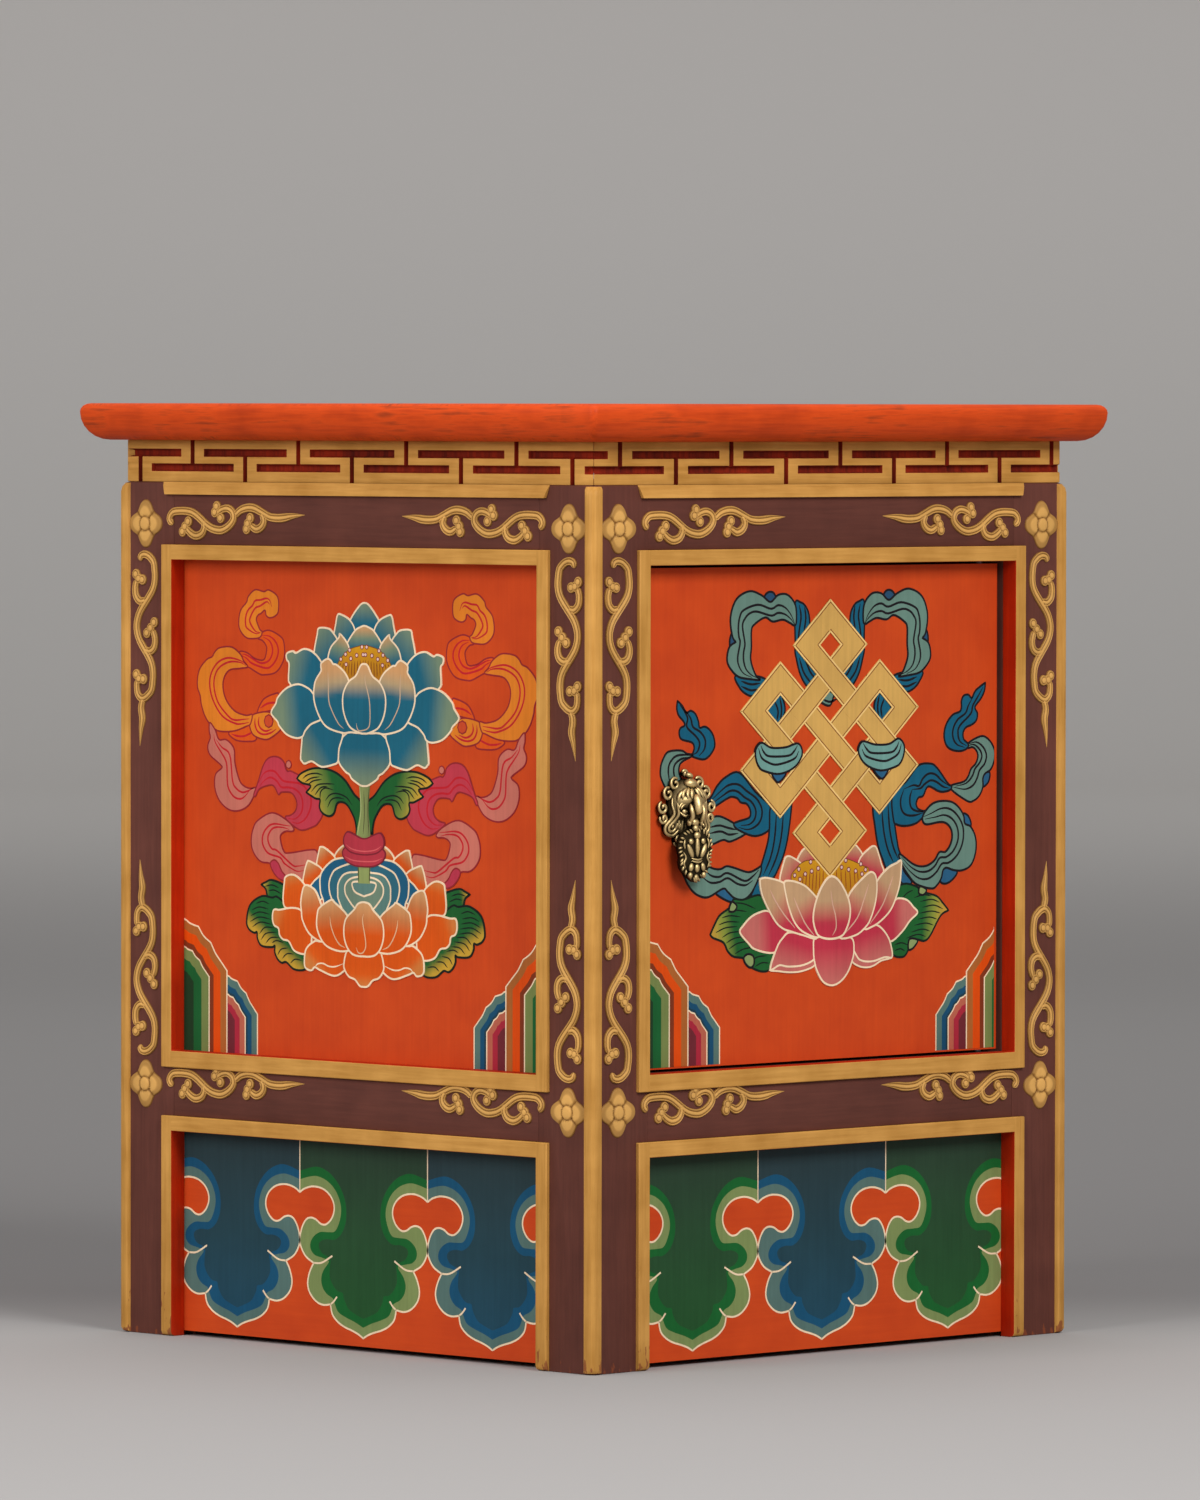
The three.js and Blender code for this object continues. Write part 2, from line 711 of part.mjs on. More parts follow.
// The pendant's shield, scalloped at its foot, with a swelling in its middle
function handlePendant() {
  const top = hingeZ - knuckleRadius - 1.6;
  const foot = hingeZ - pendantHeight - knuckleRadius;
  const wide = pendantWidth / 2;
  const outline = new THREE.Shape();
  outline.moveTo(handleX - wide * 0.42, top);
  outline.quadraticCurveTo(handleX - wide * 0.8, top - 1, handleX - wide, top - pendantHeight * 0.3);
  outline.quadraticCurveTo(handleX - wide * 0.96, foot + pendantHeight * 0.34, handleX - wide * 0.84, foot + 9);
  outline.quadraticCurveTo(handleX - wide * 0.6, foot + 2, handleX, foot);
  outline.quadraticCurveTo(handleX + wide * 0.6, foot + 2, handleX + wide * 0.84, foot + 9);
  outline.quadraticCurveTo(handleX + wide * 0.96, foot + pendantHeight * 0.34, handleX + wide, top - pendantHeight * 0.3);
  outline.quadraticCurveTo(handleX + wide * 0.8, top - 1, handleX + wide * 0.42, top);
  let shield = deepened(outline, hingeY - pendantThickness / 2, hingeY + pendantThickness / 2, 6);
  const middle = (top + foot) / 2;
  shield = shield.add(swelling(handleX, hingeY - pendantThickness / 2 + 0.5, middle + 1, 8, 2.6, 10));
  const neck = box(
    handleX - knuckleWidth / 2,
    handleX + knuckleWidth / 2,
    hingeY - hingePinRadius - 0.8,
    hingeY + hingePinRadius + 0.8,
    top - 1,
    hingeZ,
  );
  const knuckle = across(handleX - knuckleWidth / 2, handleX + knuckleWidth / 2, hingeY, hingeZ, knuckleRadius);
  shield = shield.add(neck).add(knuckle);
  const bore = hingePinRadius + runningClearance;
  return shield.subtract(across(handleX - pendantWidth, handleX + pendantWidth, hingeY, hingeZ, bore));
}
piece('handle_pendant', handlePendant(), paints.brass);

export default cabinet;
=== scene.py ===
# %% [markdown]
# # A painted pine cabinet
# A square cabinet of pine stands on four posts. Every face is a frame with a panel in it, and the wood is
# covered with opaque tempera: maroon fields, dull gold mouldings and orange-red panels that carry painted
# flowers. The construction is already solved and arrives as a frame of named parts. This lesson gives every
# part its real surface, and adds what the joiner's drawing leaves out: paintings, raised gesso and the
# modelling of the cast brass handle.

# %% Load the frame
import json
import math

import bmesh
import bpy
import numpy as np
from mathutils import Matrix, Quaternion, Vector
from mathutils.geometry import delaunay_2d_cdt

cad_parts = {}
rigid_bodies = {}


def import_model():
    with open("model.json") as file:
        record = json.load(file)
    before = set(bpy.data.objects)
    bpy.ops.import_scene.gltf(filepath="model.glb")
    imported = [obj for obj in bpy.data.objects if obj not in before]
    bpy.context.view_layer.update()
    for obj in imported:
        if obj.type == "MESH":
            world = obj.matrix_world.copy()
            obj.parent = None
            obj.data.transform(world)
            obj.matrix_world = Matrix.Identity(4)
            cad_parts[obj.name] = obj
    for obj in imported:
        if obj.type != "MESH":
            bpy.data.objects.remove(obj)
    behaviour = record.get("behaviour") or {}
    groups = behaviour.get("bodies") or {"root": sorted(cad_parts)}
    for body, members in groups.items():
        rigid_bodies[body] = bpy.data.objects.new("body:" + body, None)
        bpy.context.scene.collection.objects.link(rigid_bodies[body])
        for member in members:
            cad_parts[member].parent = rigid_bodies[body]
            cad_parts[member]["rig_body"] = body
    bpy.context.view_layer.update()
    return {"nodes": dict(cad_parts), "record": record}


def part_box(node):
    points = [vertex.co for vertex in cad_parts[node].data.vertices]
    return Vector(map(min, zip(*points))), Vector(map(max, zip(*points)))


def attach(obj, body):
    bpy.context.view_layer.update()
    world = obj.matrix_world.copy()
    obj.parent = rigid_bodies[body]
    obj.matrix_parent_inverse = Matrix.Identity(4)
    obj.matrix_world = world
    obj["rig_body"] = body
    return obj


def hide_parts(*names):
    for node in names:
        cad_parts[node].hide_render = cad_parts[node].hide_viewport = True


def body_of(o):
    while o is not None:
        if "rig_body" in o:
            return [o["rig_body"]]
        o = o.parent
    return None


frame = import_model()
nodes = frame["nodes"]
print("parts in the frame:", len(nodes))

# %% [markdown]
# Everything below is worked out in millimetres, in the same axes as the frame, and turned to metres only
# when a mesh is made. A face of the cabinet is numbered by its quarter turns from the front.

# %% Measures taken from the frame
MM = 0.001


def extent(node):
    """Lowest and highest corner of a part, in millimetres."""
    low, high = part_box(node)
    return np.array(low) / MM, np.array(high) / MM


post_low, post_high = extent("post_front_left")
HALF = -post_low[0]
POST = post_high[0] - post_low[0]
RECESS = extent("side_panel_left")[0][0] + HALF
rail_low, rail_high = extent("mid_rail_front")
RAIL_LOW, SILL = rail_low[2], rail_high[2]
LINTEL = extent("top_rail_front")[0][2]
door_low, door_high = extent("door_panel")
# The painting stays this far inside the door's free edge, hinge edge and foot, so that the door can turn.
BARE_EDGE, BARE_HINGE, BARE_FOOT = 1, 4, 1
DOOR_LEFT, DOOR_RIGHT = door_low[0] + HALF + BARE_EDGE, door_high[0] + HALF - BARE_HINGE
DOOR_FOOT = door_low[2] + BARE_FOOT
FRONT, RIGHT, BACK, LEFT = range(4)
scene = bpy.context.scene
print("half width", HALF, "post", POST, "recess", RECESS)


def in_scene(name, data):
    """A new object in the scene, at the origin."""
    made = bpy.data.objects.new(name, data)
    scene.collection.objects.link(made)
    return made


def face_to_world(face, u, v, out):
    """Points given as distance from the left edge of a face, height, and distance out from the panel's
    surface, placed on that face: the front's own places, turned a quarter at a time."""
    x = -HALF + u
    y = -HALF + RECESS - out
    cosine, sine = [(1, 0), (0, 1), (-1, 0), (0, -1)][face]
    return np.stack([cosine * x - sine * y, sine * x + cosine * y, v + 0 * x], axis=-1)

# %% [markdown]
# ## The camera
# The photograph was taken with a long lens from a little above table height, looking straight at the near
# corner. The camera stands on the diagonal through that corner and looks slightly down.

# %% Camera
CAMERA_DISTANCE = 6250.0
CAMERA_HEIGHT = 557.0
CAMERA_PITCH = math.radians(1.883)
CAMERA_YAW = math.radians(-0.0366)
CAMERA_ROLL = math.radians(0.085)
LENS_IN_PIXELS = 10376.7
PHOTO_LONG_SIDE = 1500
DIAGONAL = math.sqrt(0.5)

camera = in_scene("camera", bpy.data.cameras.new("camera"))
heading = math.radians(45) + CAMERA_YAW
forward = Vector((math.cos(heading) * math.cos(CAMERA_PITCH), math.sin(heading) * math.cos(CAMERA_PITCH),
                  -math.sin(CAMERA_PITCH)))
camera.location = Vector((-DIAGONAL * CAMERA_DISTANCE, -DIAGONAL * CAMERA_DISTANCE, CAMERA_HEIGHT)) * MM
camera.rotation_mode = "QUATERNION"
camera.rotation_quaternion = forward.to_track_quat("-Z", "Y")
camera.rotation_quaternion.rotate(Quaternion(forward, -CAMERA_ROLL))
camera.data.sensor_width = 36
camera.data.lens = LENS_IN_PIXELS * camera.data.sensor_width / PHOTO_LONG_SIDE
camera.data.clip_end = 100
scene.camera = camera
print("the camera stands at", tuple(round(place, 3) for place in camera.location))

# %% [markdown]
# ## Mixing paint
# A colour is written as the sRGB hex value that a person would pick, and one function turns it into the
# linear numbers that the renderer works with. One more function adds a node and its links.

# %% Colours and nodes
def linear(hex_colour):
    """sRGB hex to linear: below 0.04045 divide by 12.92, above it ((c + 0.055) / 1.055) to the power 2.4."""
    srgb = np.array([int(hex_colour[i:i + 2], 16) for i in (1, 3, 5)]) / 255
    channels = np.where(srgb <= 0.04045, srgb / 12.92, ((srgb + 0.055) / 1.055) ** 2.4)
    return (*channels, 1.0)


def node(tree, kind, settings=None, **links):
    """Adds one shader node. Settings are its properties or input values, links its incoming sockets."""
    made = tree.nodes.new(kind)
    for name, value in (settings or {}).items():
        if isinstance(name, str) and hasattr(made, name):
            setattr(made, name, value)
        else:
            made.inputs[name].default_value = value
    for name, socket in links.items():
        key = int(name[1:]) if name[0] == "i" and name[1:].isdigit() else name.replace("_", " ")
        tree.links.new(socket, made.inputs[key])
    return made


def new_material(name):
    """A material, its node tree, its shader, and the place on the piece."""
    material = bpy.data.materials.new(name)
    material.use_nodes = True
    tree = material.node_tree
    return material, tree, tree.nodes["Principled BSDF"], node(tree, "ShaderNodeTexCoord").outputs["Object"]

# %% [markdown]
# ## Tempera on pine
# Tempera on a thin ground dries matt, and the grain of the pine and the stiff brush stay visible as faint
# streaks along the wood. Noise stretched along the grain gives them, read in the piece's own coordinates.

# %% Painted wood
STREAK_ACROSS, STREAK_ALONG, CLOUDS = 1 / 2.5, 1 / 50, 0.035
RUBBED_WOOD, CHIPPED_WOOD = "#4A2216", "#8A482C"


def painted_wood(name, colour, darker, roughness=0.6, grain="Z", streaks=0.5, rubbed=0.0, attribute=None,
                 worn_foot=0.0):
    """Streaks 2.5 mm wide and 50 mm long are mixed with clouds of 30 mm. Where hands have rubbed the paint,
    wood shows in thin dark lines, and up to the height `worn_foot` it is knocked off in chips. An attribute
    gives a picture its own colours."""
    material, tree, shader, place = new_material(name)
    per_metre = 1 / MM
    stretch = [per_metre * (STREAK_ALONG if axis == grain else STREAK_ACROSS) for axis in "XYZ"]
    along = node(tree, "ShaderNodeMapping", {"Scale": stretch}, Vector=place)
    fibres = node(tree, "ShaderNodeTexNoise", {"Scale": 1.0, "Detail": 4.0, "Roughness": 0.6},
                  Vector=along.outputs[0])
    clouds = node(tree, "ShaderNodeTexNoise", {"Scale": CLOUDS * per_metre, "Detail": 3.0}, Vector=place)
    blend = node(tree, "ShaderNodeMath", {"operation": "MULTIPLY_ADD", 1: streaks, 2: 0.0},
                 i0=fibres.outputs["Fac"])
    cloudy = node(tree, "ShaderNodeMath", {"operation": "MULTIPLY_ADD", 1: 1 - streaks},
                  i0=clouds.outputs["Fac"], i2=blend.outputs[0])
    spread = node(tree, "ShaderNodeMapRange", {1: 0.35, 2: 0.65}, i0=cloudy.outputs[0])
    painted = node(tree, "ShaderNodeMix", {"data_type": "RGBA", 6: linear(darker), 7: linear(colour)},
                   i0=spread.outputs[0])
    if rubbed:
        bare = node(tree, "ShaderNodeMath", {"operation": "MULTIPLY_ADD", 1: 0.8}, i0=clouds.outputs["Fac"],
                    i2=fibres.outputs["Fac"])
        thin = node(tree, "ShaderNodeMapRange", {1: 0.97, 2: 1.18, 4: rubbed}, i0=bare.outputs[0])
        painted = node(tree, "ShaderNodeMix", {"data_type": "RGBA", 7: linear(RUBBED_WOOD)},
                       i0=thin.outputs[0], i6=painted.outputs[2])
    if worn_foot:
        height = node(tree, "ShaderNodeSeparateXYZ", i0=place).outputs["Z"]
        flake_size = [per_metre * share for share in (0.3, 0.3, 0.1)]
        flakes = node(tree, "ShaderNodeMapping", {"Scale": flake_size}, Vector=place)
        flaking = node(tree, "ShaderNodeTexNoise", {"Scale": 1.0, "Detail": 4.0}, Vector=flakes.outputs[0])
        lower = node(tree, "ShaderNodeMath", {"operation": "MULTIPLY_ADD", 1: -0.2 / (worn_foot * MM)},
                     i0=height, i2=flaking.outputs["Fac"])
        chipped = node(tree, "ShaderNodeMapRange", {1: 0.5, 2: 0.53, 4: 0.8}, i0=lower.outputs[0])
        painted = node(tree, "ShaderNodeMix", {"data_type": "RGBA", 7: linear(CHIPPED_WOOD)},
                       i0=chipped.outputs[0], i6=painted.outputs[2])
    colour_out = painted.outputs[2]
    if attribute:
        pigment = node(tree, "ShaderNodeAttribute", {"attribute_name": attribute})
        shade = node(tree, "ShaderNodeMapRange", {1: 0.0, 2: 1.0, 3: 0.86, 4: 1.06}, i0=spread.outputs[0])
        tinted = node(tree, "ShaderNodeVectorMath", {"operation": "SCALE"},
                      i0=pigment.outputs["Color"], Scale=shade.outputs[0])
        colour_out = tinted.outputs[0]
    tree.links.new(colour_out, shader.inputs["Base Color"])
    bump = node(tree, "ShaderNodeBump", {"Strength": 0.2, "Distance": 0.3 * MM}, Height=fibres.outputs["Fac"])
    tree.links.new(bump.outputs[0], shader.inputs["Normal"])
    shader.inputs["Roughness"].default_value = roughness
    shader.inputs["Specular IOR Level"].default_value = 0.12
    return material


def grained(paint_name, *colours, **settings):
    """The same finish for wood that lies along each axis, because the brush and the grain run lengthwise."""
    return {axis: painted_wood(f"{paint_name}_along_{axis.lower()}", *colours, grain=axis, **settings)
            for axis in "XYZ"}


# Matt, calm fields that set off the gold, knocked at the very foot.
maroons = grained("maroon_tempera_on_pine", "#683B31", "#59322A", worn_foot=8)
# Yellow ochre with a little sheen, which reads as old gold.
golds = grained("gold_ochre_tempera_on_pine", "#D49C50", "#B37E38", roughness=0.5, worn_foot=30)
# Even orange-red, the ground of every picture.
reds = grained("orange_red_tempera_on_pine", "#CF4A1A", "#C24118", roughness=0.55, streaks=0.35)
# The same red on the top's edge, brushed thin and rubbed down to dark wood.
top_reds = grained("rubbed_orange_red_on_pine", "#E65218", "#B83C12", roughness=0.5, rubbed=0.6)
# Bare pine: warm yellow with its grain plainly seen.
pines = grained("planed_pine", "#C79A66", "#A9783F", roughness=0.7, streaks=0.8, rubbed=0.25)
# Deeper reds in the jambs and in the fret, where the brush hardly reached; the darker red is also painted
# shade, because light hardly comes there.
jamb_red_with_painted_shade = painted_wood("orange_red_with_painted_shade_on_jambs", "#BE2C06", "#A42204", roughness=0.55)
fret_red_with_painted_shade = painted_wood("red_ground_with_painted_shade_in_fret", "#96260C", "#4E120A", roughness=0.8)
print("paints mixed:", len(bpy.data.materials))

# %% [markdown]
# ## Brass and steel
# The handle is cast brass with a dark patina. Its pin and bolt and the door's pivots are turned. All start
# from a plain metal whose gloss varies, because no such surface is quite even.

# %% Metals
# How far, in millimetres, the ambient occlusion reaches that darkens hollows with painted shade and dirt.
SHADE_AND_DIRT_REACH = 4.0


def metal(name, colour, roughness, grain, attribute=None):
    """Gloss and surface vary over a few `grain` millimetres. An attribute gives the colour of the patina, the
    rubbing and the painted light, and its alpha, the same share, takes the gloss out of the hollows. Ambient
    occlusion over a few millimetres darkens the colour: painted shade in the hollows, and the dirt that
    gathers there."""
    material, tree, shader, place = new_material(name)
    mottle = node(tree, "ShaderNodeTexNoise", {"Scale": 1 / (grain * MM), "Detail": 3.0}, Vector=place)
    gloss = node(tree, "ShaderNodeMapRange", {1: 0.3, 2: 0.7, 3: roughness - 0.08, 4: roughness + 0.12},
                 i0=mottle.outputs["Fac"])
    shader.inputs["Base Color"].default_value = linear(colour)
    if attribute:
        patina = node(tree, "ShaderNodeAttribute", {"attribute_name": attribute})
        dull = node(tree, "ShaderNodeMapRange", {3: 0.35, 4: 0.0}, i0=patina.outputs["Alpha"])
        gloss = node(tree, "ShaderNodeMath", {"operation": "ADD"}, i0=gloss.outputs[0], i1=dull.outputs[0])
        # Painted shade, with the dirt it stands for: ambient occlusion darkens the colour in the hollows.
        cranny = node(tree, "ShaderNodeAmbientOcclusion", {"Distance": SHADE_AND_DIRT_REACH * MM, "samples": 8})
        shade_and_dirt = node(tree, "ShaderNodeMapRange", {1: 0.35, 2: 0.8, 3: 0.03, 4: 1.0}, i0=cranny.outputs["AO"])
        seen = node(tree, "ShaderNodeVectorMath", {"operation": "SCALE"}, i0=patina.outputs["Color"],
                    Scale=shade_and_dirt.outputs[0])
        tree.links.new(seen.outputs[0], shader.inputs["Base Color"])
    bump = node(tree, "ShaderNodeBump", {"Strength": 0.2, "Distance": 0.1 * MM}, Height=mottle.outputs["Fac"])
    tree.links.new(gloss.outputs[0], shader.inputs["Roughness"])
    tree.links.new(bump.outputs[0], shader.inputs["Normal"])
    shader.inputs["Metallic"].default_value = 1.0
    return material


# Black in the hollows and bright on the tops, so that the relief reads from far off: dark patina with painted
# shade in the hollows, brass rubbed bright with a painted highlight on the tops.
cast_brass = metal("cast_brass_with_dark_patina", "#B09458", 0.4, 1.5, attribute="pigment")
# Turned parts are smoother and shine evenly.
brass = metal("turned_brass", "#B09458", 0.32, 2.0)
steel = metal("turned_steel", "#8E8F91", 0.4, 2.0)

finish_of_slot = {
    "maroon_paint": maroons["Z"],
    "gold_paint": golds["Z"],
    "vermilion_paint": reds["Z"],
    "bare_pine": pines["Z"],
    "brass": brass,
    "steel": steel,
}
slot_of_node = {row["node"]: row["material_slot"] for row in frame["record"]["subparts"]}
for name, part in nodes.items():
    part.data.materials.clear()
    part.data.materials.append(finish_of_slot[slot_of_node[name]])

# %% [markdown]
# ## The bodywork
# The joiner's parts arrive with sharp edges and one colour each. The painter works differently: on a post the
# corner bead is gold and the field maroon, and the inner side of a gold fillet is orange-red. A copy of each
# part gets a hand-rubbed edge from a bevel, and a paint for each face, chosen by where it is and looks.

# %% Dressing a part
EDGE = 0.5


def dressed(name, paints, choose=None, edge=EDGE, cuts=()):
    """A copy of a part that stands for it. `choose` gets the middles and normals of its flat faces as
    arrays, in millimetres, and gives the number of each one's paint. A face that takes two paints
    is cut in two by a plane, given as a point and a normal."""
    mesh = nodes[name].data.copy()
    mesh.name = "dressed_" + name
    shape = bmesh.new()
    shape.from_mesh(mesh)
    bmesh.ops.remove_doubles(shape, verts=shape.verts, dist=0.002 * MM)
    kept = set()
    for place, normal in cuts:
        cut = bmesh.ops.bisect_plane(shape, geom=[*shape.verts, *shape.edges, *shape.faces],
                                     dist=0.01 * MM, plane_co=place, plane_no=normal)
        kept.update(cut["geom_cut"])
    bmesh.ops.dissolve_limit(shape, angle_limit=math.radians(0.5), verts=shape.verts,
                             edges=[edge for edge in shape.edges if edge not in kept])
    shape.to_mesh(mesh)
    shape.free()
    mesh.materials.clear()
    for paint in paints:
        mesh.materials.append(paint)
    if choose:
        count = len(mesh.polygons)
        middles, normals = np.empty(3 * count), np.empty(3 * count)
        mesh.polygons.foreach_get("center", middles)
        mesh.polygons.foreach_get("normal", normals)
        chosen = choose(middles.reshape(-1, 3) / MM, normals.reshape(-1, 3))
        mesh.polygons.foreach_set("material_index", chosen.astype(np.int32))
    made = in_scene("dressed_" + name, mesh)
    if edge:
        rounding = made.modifiers.new("rubbed edge", "BEVEL")
        rounding.width = edge * MM
        rounding.segments = 2
        rounding.angle_limit = math.radians(40)
    mesh.shade_smooth()
    mesh.set_sharp_from_angle(angle=math.radians(50))
    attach(made, body_of(nodes[name])[0])
    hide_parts(name)
    return made

# %% Posts and rails
FACE_NAMES = ["front", "right", "back", "left"]
LONG_AXIS = "XYXY"
OUTWARD = [(0, -1, 0), (1, 0, 0), (0, 1, 0), (-1, 0, 0)]
GOLD_BEAD = 8.6
# Two places nearer than this count as the same.
NEAR = 0.3


def level_direction(face):
    """The horizontal direction along a face."""
    return np.abs([OUTWARD[face][1], OUTWARD[face][0], 0])


def gold_on_bead(middles, normals):
    """1 on the corner bead, within its width of both outer planes, and 0 elsewhere."""
    depth = HALF - np.abs(middles[:, :2])
    return ((depth.max(axis=1) < GOLD_BEAD) & (np.abs(normals[:, 2]) < 0.9)).astype(int)


def red_on_jambs(face):
    """For a fillet: 1 on its inner side, where a face lies on the edge of the opening and doesn't look
    straight out, the deeper red with its painted shade, 2 on the front of its level members, and 0 elsewhere."""
    outward = np.array(OUTWARD[face])

    def choose(middles, normals):
        along = np.abs(middles @ level_direction(face))
        level = np.min(np.abs(middles[:, 2:] - [SILL, RAIL_LOW, LINTEL]), axis=1) < NEAR
        on_edge = (np.abs(along - (HALF - POST)) < NEAR) | ((along < HALF - POST + NEAR) & level)
        on_side = np.abs(normals @ outward) < 0.5
        return np.where(on_side, on_edge, 2 * (along < HALF - POST)).astype(int)
    return choose


for corner in ("front_left", "front_right", "back_right", "back_left"):
    dressed("post_" + corner, [maroons["Z"], golds["Z"]], gold_on_bead)
for face, face_name in enumerate(FACE_NAMES):
    dressed("top_rail_" + face_name, [maroons[LONG_AXIS[face]]])
    dressed("mid_rail_" + face_name, [maroons[LONG_AXIS[face]]])
    if face != BACK:
        sideways = Vector(level_direction(face))
        cuts = [(sideways * side * (HALF - POST) * MM, sideways) for side in (-1, 1)]
        for level in ("upper", "lower"):
            dressed(f"{level}_fillet_{face_name}", [golds["Z"], jamb_red_with_painted_shade, golds[LONG_AXIS[face]]],
                    red_on_jambs(face), cuts=cuts)

# %% Frieze, tabletop and panels
# The fret is less deep than GROOVE_DEPTH, and the mitred ends within END_GRAIN of the corners stay gold.
GROOVE_DEPTH = 6.0
END_GRAIN = 2


def dark_in_grooves(face):
    """The fret is cut into a gold board: 1 on what lies deeper than its front, the dark red with its painted
    shade, 0 on the front and ends.
    """
    outward = np.array(OUTWARD[face])

    def choose(middles, normals):
        depth = middles @ outward
        flush = np.abs(depth - depth[normals @ outward > 0.9].max()) < 0.1
        low, high = middles[:, 2].min() + NEAR, middles[:, 2].max() - NEAR
        between = (middles[:, 2] > low) & (middles[:, 2] < high)
        sideways = np.abs(middles @ level_direction(face)) < np.abs(depth).max() - END_GRAIN
        return (~flush & between & sideways & (depth > depth.max() - GROOVE_DEPTH)).astype(int)
    return choose


def along_each_edge(middles, normals):
    """1 on the two edges of the top that run front to back, 0 on the others and on its faces."""
    return (np.abs(normals[:, 0]) > np.abs(normals[:, 1:]).max(axis=1) * 0.9).astype(int)


for face, face_name in enumerate(FACE_NAMES):
    dressed("frieze_" + face_name, [golds[LONG_AXIS[face]], fret_red_with_painted_shade], dark_in_grooves(face), edge=0.35)
    dressed("lower_panel_" + face_name, [reds[LONG_AXIS[face]]], edge=0)
    if face != BACK:
        dressed("drip_strip_" + face_name, [golds[LONG_AXIS[face]]], edge=0.4)
for panel in ("side_panel_left", "side_panel_right", "back_panel"):
    dressed(panel, [reds["Z"]], edge=0)
dressed("door_panel", [reds["Z"]], edge=0.8)
dressed("tabletop", [top_reds["X"], top_reds["Y"]], along_each_edge, edge=0)

# %% Bare pine inside
for name, slot in slot_of_node.items():
    if slot == "bare_pine":
        low, high = extent(name)
        dressed(name, [pines["XYZ"[int(np.argmax(high - low))]]])

# %% [markdown]
# ## Painting with coats
# The painter's pictures are flat films of tempera. Each film is a thin closed solid that stands on the
# wood, and a later coat stands a little higher than an earlier one, so it covers what is under it, as real
# coats do. Outlines are curves through a few given points: u runs along the face from its left
# edge and v runs up from the floor, both in millimetres.

# %% Curves and meshes
# Thickness of a coat, depth of a film's root, and spacing of the points that shade a patch.
COAT = 0.03
ROOT = -0.05
GRAIN_OF_FILM = 2.5


def curve(points, closed=True, steps=5):
    """Catmull-Rom curve through the points; a point given twice is a sharp corner. Between p1 and p2 it is
    0.5 (2 p1 + (p2 - p0) t + (2 p0 - 5 p1 + 4 p2 - p3) t^2 + (3 p1 - p0 - 3 p2 + p3) t^3)."""
    p = np.array(points, float)
    if closed:
        around = [np.roll(p, shift, axis=0) for shift in (1, 0, -1, -2)]
    else:
        longer = np.concatenate([2 * p[:1] - p[1:2], p, 2 * p[-1:] - p[-2:-1]])
        around = [longer[:-3], longer[1:-2], longer[2:-1], longer[3:]]
    p0, p1, p2, p3 = (q[:, None] for q in around)
    t = np.linspace(0, 1, steps, endpoint=False)[:, None]
    line = 0.5 * (2 * p1 + (p2 - p0) * t + (2 * p0 - 5 * p1 + 4 * p2 - p3) * t ** 2
                  + (3 * p1 - p0 - 3 * p2 + p3) * t ** 3)
    line = line[np.linalg.norm(p2 - p1, axis=-1)[:, 0] > 1e-6].reshape(-1, p.shape[1])
    if not closed:
        line = np.concatenate([line, p[-1:]])
    gap = np.linalg.norm(line - np.roll(line, 1, axis=0), axis=1)
    gap[0] = gap[0] if closed else 1
    return line[gap > 1e-3]


def headings(path):
    """The unit direction of an open path at each of its points."""
    heading = np.gradient(path, axis=0)
    return heading / np.linalg.norm(heading, axis=1)[:, None]


def sharp(points):
    """Each point twice, for sharp corners."""
    return [point for point in points for _ in range(2)]


def mesh_object(name, points, faces, material, body, colours=None):
    """An object with its points in millimetres, made of one material, that moves with a body."""
    mesh = bpy.data.meshes.new(name)
    mesh.from_pydata((points * MM).tolist(), [], faces.tolist())
    if colours is not None:
        layer = mesh.attributes.new("pigment", "FLOAT_COLOR", "POINT")
        layer.data.foreach_set("color", colours.astype(np.float32).ravel())
    mesh.materials.append(material)
    made = in_scene(name, mesh)
    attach(made, body)
    return made

